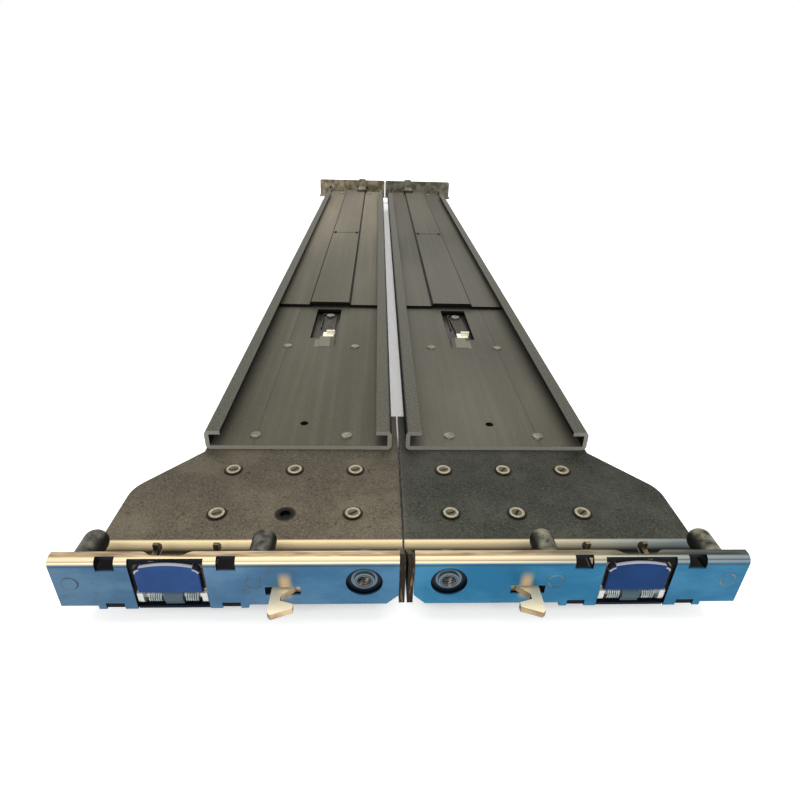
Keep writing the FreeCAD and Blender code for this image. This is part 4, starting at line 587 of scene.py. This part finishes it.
def plainSteel(name, look):
    finish = Finish(name)
    clouds = finish.span(finish.noise(look["scale"], detail=4.0), 0.3, 0.7)
    colour = finish.mix(clouds, look["dark"], look["pale"])
    if "rightShade" in look:
        shade = finish.eitherRail((1.0, 1.0, 1.0), look["rightShade"])
        colour = finish.mix(1.0, colour, shade, "MULTIPLY")
    if "top" in look:
        # painted highlight on upward faces
        colour = finish.mix(finish.faces(upward), colour, look["top"])
    if "side" in look:
        # painted shade on the sides
        colour = finish.mix(finish.facesAside(), colour, look["side"])
    if "highlightPatch" in look:
        # painted highlight along one axis
        highlightPatch = finish.between(look["patchAxis"], *look["patchSpan"], 0.2 * mm)
        colour = finish.mix(highlightPatch, colour, look["highlightPatch"])
    finish.put(Base_Color=colour, Metallic=look.get("metallic", 0.6), Roughness=look["roughness"])
    finish.bump(finish.noise(look["scale"] * 12.0, detail=2.0), 0.1, 0.0002)
    return finish.material


buttonLook = {
    "left": (0.020, 0.066, 0.210), "right": (0.002, 0.040, 0.155), "leftDeep": (0.014, 0.050, 0.168),
    "rightDeep": (0.001, 0.030, 0.122), "cloudScale": 120.0, "rim": (0.42, 0.42, 0.46), "rimWidth": 0.45 * mm,
    "rimSoft": 0.08 * mm, "side": (0.006, 0.009, 0.020), "back": (0.8 * mm, 1.1 * mm),
    "corner": 1.7 * mm, "cornerShare": 0.8, "crown": 1.3 * mm, "shoulderRise": 0.5 * mm, "roughness": 0.5,
}


# Painted highlight where the face rolls over into its arched top, painted shade on its sides, round its two upper
# corners and behind the rim
def buttonPlastic():
    finish = Finish("buttonPlastic")
    look = buttonLook
    low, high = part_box("right_release_button")
    middle, half, corner = (low.x + high.x) / 2, (high.x - low.x) / 2, look["corner"]
    clouds = finish.span(finish.noise(look["cloudScale"], detail=3.0), 0.3, 0.7)
    deep = finish.eitherRail(look["leftDeep"], look["rightDeep"])
    colour = finish.mix(clouds, deep, finish.eitherRail(look["left"], look["right"]))
    colour = finish.mix(finish.facesAside(), colour, look["side"])
    colour = finish.mix(finish.faces(upward, 0.55, 0.9), colour, look["rim"])
    back = finish.span(finish.along("Y"), low.y + look["back"][0], low.y + look["back"][1])
    colour = finish.mix(back, colour, look["side"])
    aside, level = finish.away(finish.across(), middle), finish.along("Z")
    shoulder = high.z - look["crown"] - corner
    past = [
        finish.maths("MAXIMUM", finish.maths("SUBTRACT", value, start), 0.0)
        for value, start in ((aside, half - corner), (level, shoulder))
    ]
    radius = finish.reach(*past)
    rounded = finish.both(finish.span(aside, half - corner, half - look["cornerShare"] * corner),
                          finish.span(level, shoulder, shoulder + look["shoulderRise"]))
    soft = look["rimSoft"]
    for edge, tone in ((corner - look["rimWidth"], look["rim"]), (corner, look["side"])):
        outside = finish.both(finish.span(radius, edge - soft, edge + soft), rounded)
        colour = finish.mix(outside, colour, tone)
    finish.put(Base_Color=colour, Metallic=0.0, Roughness=look["roughness"])
    finish.bump(finish.noise(2600.0, detail=1.0), 0.05, 0.0001)
    return finish.material


bufferLook = {"dark": (0.012, 0.012, 0.012), "pale": (0.03, 0.03, 0.03), "scale": 300.0, "roughness": 0.75}


def bufferRubber():
    finish = Finish("bufferRubber")
    colour = finish.mix(finish.noise(bufferLook["scale"]), bufferLook["dark"], bufferLook["pale"])
    finish.put(Base_Color=colour, Roughness=bufferLook["roughness"])
    return finish.material


insertLook = {
    "outside": (0.008, 0.014, 0.024), "ring": (0.130, 0.175, 0.205), "ringRadii": (3.2 * mm, 3.4 * mm),
    "grooveRadii": (2.0 * mm, 2.2 * mm), "thread": (0.055, 0.035, 0.022), "glint": (0.45, 0.30, 0.20),
    "threadRadii": (1.7 * mm, 1.95 * mm), "metallic": 0.6, "roughness": 0.34,
}


# Blue-grey on the nose's front ring, painted shade outside it and in its groove, bronze down the thread with painted
# glints
def insertSteel():
    finish = Finish("insertSteel")
    look = insertLook
    across, _, up = mounts["right_server_screw"]["pos_m"]
    radius = finish.reach(finish.maths("SUBTRACT", finish.across(), across),
                          finish.maths("SUBTRACT", finish.along("Z"), up))
    colour = finish.mix(finish.span(radius, *look["ringRadii"]), look["ring"], look["outside"])
    colour = finish.mix(finish.between(radius, *look["grooveRadii"], 0.12 * mm), colour, look["outside"])
    thread = finish.mix(finish.span(finish.noise(700.0), 0.5, 0.7), look["thread"], look["glint"])
    colour = finish.mix(finish.span(radius, *look["threadRadii"]), thread, colour)
    finish.put(Base_Color=colour, Metallic=look["metallic"], Roughness=look["roughness"])
    finish.bump(finish.noise(2000.0, detail=2.0), 0.08, 0.0002)
    return finish.material


headLook = {
    "low": (0.014, 0.011, 0.007), "middle": (0.100, 0.086, 0.056), "ring": (0.34, 0.31, 0.225),
    "dishLevels": (plateTop + 0.12 * mm, plateTop + 0.42 * mm),
    "ringLevels": (plateTop + 0.52 * mm, plateTop + 0.66 * mm), "gritScale": 1400.0,
    "metallic": 0.5, "roughness": 0.4,
}


# Painted shade in the groove and the dish, painted highlight on the raised ring
def headSteel():
    finish = Finish("headSteel")
    look = headLook
    level = finish.along("Z")
    colour = finish.mix(finish.span(level, *look["dishLevels"]), look["low"], look["middle"])
    colour = finish.mix(finish.span(level, *look["ringLevels"]), colour, look["ring"])
    grit = finish.span(finish.noise(look["gritScale"], detail=2.0), 0.45, 0.65, 0.0, 0.5)
    colour = finish.mix(grit, colour, look["middle"])
    finish.put(Base_Color=colour, Metallic=look["metallic"], Roughness=look["roughness"])
    return finish.material


finishes = {name: plainSteel(name, look) for name, look in steelLooks.items()}
finishes["headSteel"] = headSteel()
finishes["flangeSteel"] = flangeSteel()
finishes["plateSteel"] = plateSteel()
finishes["channelSteel"] = channelSteel("channelSteel", "frontEdge", rear=False)
finishes["rearChannelSteel"] = channelSteel("rearChannelSteel", "rearEdge", rear=True)
finishes["insertSteel"] = insertSteel()
finishes["buttonPlastic"] = buttonPlastic()
finishes["bufferRubber"] = bufferRubber()

nodeFinish = {
    "mounting_flange": "flangeSteel", "front_bracket": "plateSteel", "locating_pins": "pinSteel",
    "screw_insert": "insertSteel", "server_hook": "hookSteel", "hinge_pin": "brightSteel",
    "release_lever": "leverSteel", "release_button": "buttonPlastic", "torsion_springs": "springWire",
    "front_channel": "channelSteel", "front_rivets": "rivetSteel", "web_rivets": "rivetSteel",
    "rear_channel": "rearChannelSteel", "rear_flange": "rearSteel", "rear_pins": "pinSteel",
    "rear_rivets": "rivetSteel", "rear_latch": "rearSteel", "rear_latch_pin": "brightSteel",
    "outer_slide": "slideSteel", "middle_slide": "slideSteel", "inner_slide": "slideSteel",
    "outer_cage": "cageSteel", "inner_cage": "cageSteel", "outer_balls": "ballSteel",
    "inner_balls": "ballSteel", "slide_buffer": "bufferRubber", "slide_latch": "latchSteel",
    "latch_pivot": "pivotSteel", "latch_spring": "latchSteel",
}
for side in sides:
    for node, finishName in nodeFinish.items():
        mesh = frame["nodes"][f"{side}_{node}"].data
        if not mesh.materials:
            mesh.materials.append(None)
        for number in range(len(mesh.materials)):
            mesh.materials[number] = finishes[finishName]
print("finishes ready")


# Surfaces on a grid

# Quads between neighbouring rings of a grid whose rings are closed, and from the last ring to the first if looped
def ringFaces(rings, steps, looped=False):
    ring, step = np.meshgrid(np.arange(rings if looped else rings - 1), np.arange(steps), indexing="ij")
    after, nextRing = (step + 1) % steps, (ring + 1) % rings
    corners = (ring * steps + step, ring * steps + after, nextRing * steps + after, nextRing * steps + step)
    return np.stack(corners, -1).reshape(-1, 4)


# Six times the volume that a closed surface holds: the sum over its triangles of their corners' triple products
def windingOf(points, faces):
    total = 0.0
    for number in range(1, faces.shape[1] - 1):
        first, second, third = points[faces[:, 0]], points[faces[:, number]], points[faces[:, number + 1]]
        total += float(np.einsum("ij,ij->", first, np.cross(second, third)))
    return total


# Makes a piece of grids given as point[ring, step]; an open grid gets a pole at the middle of each end ring
def addPiece(name, grids, body, finishName, looped=False, sharp=38.0):
    points, faces, count = [], [], 0
    for grid in grids:
        rings, steps = grid.shape[:2]
        own = grid.reshape(-1, 3)
        quads = ringFaces(rings, steps, looped)
        fans = np.zeros((0, 3), int)
        if not looped:
            own = np.concatenate([own, grid[:1].mean(1), grid[-1:].mean(1)])
            step = np.arange(steps)
            after, last = (step + 1) % steps, (rings - 1) * steps
            front = np.stack([np.full(steps, rings * steps), after, step], -1)
            back = np.stack([np.full(steps, rings * steps + 1), last + step, last + after], -1)
            fans = np.concatenate([front, back])
        if windingOf(own, quads) + (windingOf(own, fans) if len(fans) else 0.0) < 0.0:
            quads, fans = quads[:, ::-1], fans[:, ::-1]
        points.append(own)
        faces += (quads + count).tolist() + (fans + count).tolist()
        count += len(own)
    mesh = bpy.data.meshes.new(name)
    mesh.from_pydata(np.concatenate(points).tolist(), [], faces)
    mesh.shade_smooth()
    mesh.set_sharp_from_angle(angle=math.radians(sharp))
    mesh.materials.append(finishes[finishName])
    piece = bpy.data.objects.new(name, mesh)
    bpy.context.scene.collection.objects.link(piece)
    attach(piece, body)
    return piece


def turnAngles(steps):
    return np.linspace(0.0, 2.0 * np.pi, steps, endpoint=False)


# Turned surface: a profile of (radius, height) carried round a line through a centre, with its height along Z if
# upright and along Y if not
def turnedGrid(profile, centre, steps=40, upright=True):
    radius, height = np.asarray(profile, float).T
    angle = turnAngles(steps)
    across = radius[:, None] * np.cos(angle)
    aside = radius[:, None] * np.sin(angle)
    level = np.repeat(height[:, None], steps, 1)
    parts = (across, aside, level) if upright else (across, level, aside)
    return np.stack(parts, -1) + np.asarray(centre)


# Rivets of the bracket plates

rivetLook = {
    "radius": 2.5 * mm, "rise": 0.72 * mm, "edgeShare": 0.45, "rimPower": 10, "shank": 1.48 * mm,
    "foot": 0.05 * mm, "dish": 0.30 * mm, "dishRadius": 1.75 * mm, "dishPower": 4,
    "slotWidth": 0.62 * mm, "slotLength": 3.0 * mm, "slotDepth": 0.34 * mm, "slotSide": 1.4, "slotEnd": 6.0,
    "turns": (24.0, 61.0, 37.0, 15.0, 48.0, 29.0), "perRow": 3, "open": ("left", 0, 1), "steps": 56,
}


# Head height over radius and angle: flat, rolled over at the rim as the root of one less a high power of the
# radius, sunk in the middle by a smooth dish, and cut by a slanted groove whose depth fades out across its width
# and at its ends
def slottedRivet(centre, turn, depth, look=rivetLook):
    shares = np.concatenate([np.linspace(0.04, 0.93, 22), [0.97, 1.0]])
    r, a = np.meshgrid(shares * look["radius"], turnAngles(look["steps"]), indexing="ij")
    rim = 1.0 - np.clip(r / look["radius"], 0.0, 1.0) ** look["rimPower"]
    height = look["edgeShare"] + (1.0 - look["edgeShare"]) * np.sqrt(np.clip(rim, 0.0, 1.0))
    height *= look["rise"]
    height -= look["dish"] * (1.0 - np.clip(r / look["dishRadius"], 0.0, 1.0) ** look["dishPower"])
    along = np.abs(r * np.cos(a - math.radians(turn))) / (look["slotLength"] / 2.0)
    beside = np.abs(r * np.sin(a - math.radians(turn))) / (look["slotWidth"] / 2.0)
    groove = np.clip(look["slotSide"] - beside, 0.0, 1.0)
    groove *= np.clip(look["slotEnd"] * (1.0 - along), 0.0, 1.0)
    height -= look["slotDepth"] * groove
    head = np.stack([r * np.cos(a), r * np.sin(a), height], -1) + np.asarray(centre)
    below = [(look["radius"], 0.0), (look["shank"], 0.0), (look["shank"], -depth), (look["foot"], -depth)]
    return np.concatenate([head, turnedGrid(below, centre, look["steps"])])


def addRivets(side):
    look = rivetLook
    low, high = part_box(f"{side}_front_rivets")
    across = np.linspace(low.x + look["radius"], high.x - look["radius"], look["perRow"])
    grids = []
    for row, along in enumerate((low.y + look["radius"], high.y - look["radius"])):
        for number, middle in enumerate(across):
            if (side, row, number) == look["open"]:
                continue
            turn = look["turns"][row * look["perRow"] + number]
            grids.append(slottedRivet((middle, along, plateTop), turn, plateTop - low.z))
    piece = addPiece(f"{side}RivetHeads", grids, f"{side}_rail", "headSteel")
    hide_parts(f"{side}_front_rivets")


# Low domed caps on the rivets of the channels

capLook = {
    "radius": 2.0 * mm, "rise": 0.75 * mm, "sink": 0.3 * mm, "aside": 16.3 * mm, "steps": 28,
    "rows": (71.5 * mm, 151.5 * mm), "webTop": plateTop + 1.5 * mm, "dimple": 0.25, "dimpleReach": 1.0 / 3.0,
    "rearRadius": 2.6 * mm, "rearRise": 0.85 * mm, "rearInset": 2.5 * mm, "rearDrop": 0.7 * mm, "rearSteps": 32,
}


# Dome whose height falls as the square root of one less the radius squared, with a small dimple at its crown
def domeProfile(radius, rise, look=capLook):
    share = np.sin(np.linspace(0.03, 0.5 * np.pi, 12))
    height = rise * np.sqrt(np.clip(1.0 - share ** 2, 0.0, 1.0))
    height -= look["dimple"] * rise * np.clip(1.0 - share / look["dimpleReach"], 0.0, 1.0)
    return [*zip(radius * share, height), (radius, -look["sink"]), (0.1 * radius, -look["sink"])]


def addCaps(side, sign):
    look = capLook
    profile = domeProfile(look["radius"], look["rise"])
    centres = [
        (sign * railLine + aside, flangeFace + row, look["webTop"])
        for aside in (-look["aside"], look["aside"])
        for row in look["rows"]
    ]
    grids = [turnedGrid(profile, centre, look["steps"]) for centre in centres]
    addPiece(f"{side}WebCaps", grids, f"{side}_rail", "rivetSteel")
    low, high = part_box(f"{side}_rear_rivets")
    profile = domeProfile(look["rearRadius"], look["rearRise"])
    centres = [
        (across, (low.y + high.y) / 2, high.z - look["rearDrop"])
        for across in (low.x + look["rearInset"], high.x - look["rearInset"])
    ]
    grids = [turnedGrid(profile, centre, look["rearSteps"]) for centre in centres]
    addPiece(f"{side}RearCaps", grids, f"{side}_rear_end", "rivetSteel")


# Swaged ends of the locating pins, just proud of the flange's face

swageLook = {
    "radius": 2.45 * mm, "rise": 0.10 * mm, "rimPower": 8, "groove": 0.16 * mm, "groovePlace": 0.80,
    "grooveWidth": 0.07, "sink": 0.4 * mm, "foot": 0.1 * mm, "steps": 44,
}


# A flat disc whose rim is the root of one less a high power of the radius, with a bell-shaped ring groove inside it
def addSwages(side):
    look = swageLook
    share = np.linspace(0.03, 1.0, 26)
    rise = look["rise"] * np.sqrt(np.clip(1.0 - share ** look["rimPower"], 0.0, 1.0))
    rise -= look["groove"] * np.exp(-(((share - look["groovePlace"]) / look["grooveWidth"]) ** 2))
    back = [(look["radius"], look["sink"]), (look["foot"], look["sink"])]
    profile = [*zip(look["radius"] * share, -rise), *back]
    grids = []
    for name in ("outer", "inner"):
        across, _, up = mounts[f"{side}_front_pin_{name}"]["pos_m"]
        grids.append(turnedGrid(profile, (across, flangeFace, up), look["steps"], upright=False))
    addPiece(f"{side}SwagedEnds", grids, f"{side}_rail", "flangeSteel")


# Screw insert with its thread

insertShape = {
    "nose": 2.7 * mm, "body": 3.3 * mm, "sheet": 1.0 * mm, "collar": 1.4 * mm, "mouth": 0.12 * mm,
    "roundings": ((0.35 * mm, 0.0), (0.1 * mm, 0.12 * mm), (0.0, 0.4 * mm)),
    "pitch": 0.7 * mm, "depth": 0.32 * mm, "step": 0.09 * mm, "steps": 60,
}


# The body is a turned profile; its bore's radius is a triangle wave of the length less the angle's share of a turn
def addInsert(side):
    look = insertShape
    low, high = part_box(f"{side}_screw_insert")
    across, _, up = mounts[f"{side}_server_screw"]["pos_m"]
    base, core = (high.x - low.x) / 2, mounts[f"{side}_server_screw"]["dims"]["r_mm"] * mm
    front, back, sheet = low.y, high.y, flangeFace + look["sheet"]
    mouth, collar = core + look["mouth"], sheet + look["collar"]
    nose = [(look["nose"] - inset, front + behind) for inset, behind in look["roundings"]]
    outside = [
        (mouth, front), *nose, (look["nose"], sheet), (base, sheet), (base, collar), (look["body"], collar),
        (look["body"], back), (mouth, back),
    ]
    skin = turnedGrid(outside, (across, 0.0, up), look["steps"], upright=False)
    length = np.arange(back, front, -look["step"])
    angle = turnAngles(look["steps"])
    wave = (length[:, None] / look["pitch"] - angle[None, :] / (2.0 * np.pi)) % 1.0
    radius = core + look["depth"] * (1.0 - np.abs(2.0 * wave - 1.0))
    level = np.repeat(length[:, None], look["steps"], 1)
    bore = np.stack((across + radius * np.cos(angle), level, up + radius * np.sin(angle)), -1)
    grids = [np.concatenate([skin, bore])]
    piece = addPiece(f"{side}ThreadedInsert", grids, f"{side}_rail", "insertSteel", looped=True)
    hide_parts(f"{side}_screw_insert")


# Torsion springs of the release lever

springLook = {
    "coil": 1.62 * mm, "wire": 0.23 * mm, "turns": 5.5, "pitch": 0.56 * mm, "leg": 2.3 * mm, "margin": 0.35 * mm,
    "turnSteps": 36, "legSteps": 8, "wireSteps": 12,
}


# Wire along a path of points: round rings square to the path, turned by the path's own direction
def tubeGrid(path, radius, guide, steps):
    ahead = np.gradient(path, axis=0)
    ahead /= np.linalg.norm(ahead, axis=1)[:, None]
    out = guide - np.sum(guide * ahead, 1)[:, None] * ahead
    out /= np.linalg.norm(out, axis=1)[:, None]
    beside = np.cross(ahead, out)
    angle = turnAngles(steps)[:, None, None]
    return np.swapaxes(path + radius * (np.cos(angle) * out + np.sin(angle) * beside), 0, 1)


# One coil: a straight leg, a helix about the hinge line that starts and ends in the legs' direction, and a leg
def springPath(start, hinge, look=springLook):
    turned = np.linspace(0.0, 2.0 * np.pi * look["turns"], int(look["turns"] * look["turnSteps"]))
    around = -0.5 * np.pi - turned
    coil = np.stack([
        start + look["pitch"] * turned / (2.0 * np.pi),
        hinge[1] + look["coil"] * np.cos(around),
        hinge[2] + look["coil"] * np.sin(around),
    ], -1)
    leg = np.linspace(1.0, 0.0, look["legSteps"], endpoint=False)[:, None] * np.array([0.0, look["leg"], 0.0])
    return np.concatenate([coil[0] + leg, coil, coil[-1] + leg[::-1]])


def addSprings(side):
    look = springLook
    low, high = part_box(f"{side}_torsion_springs")
    hinge = joints[f"{side}_release_lever"]["pos_m"]
    length = look["turns"] * look["pitch"]
    grids = []
    for start in (low.x + look["margin"], high.x - look["margin"] - length):
        path = springPath(start, hinge)
        guide = np.tile([1.0, 0.0, 0.0], (len(path), 1))
        grids.append(tubeGrid(path, look["wire"], guide, look["wireSteps"]))
    piece = addPiece(f"{side}WoundSprings", grids, f"{side}_release", "springWire", sharp=60.0)
    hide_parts(f"{side}_torsion_springs")


for side, sign in sides.items():
    addRivets(side)
    addCaps(side, sign)
    addSwages(side)
    addInsert(side)
    addSprings(side)
print("pieces ready")
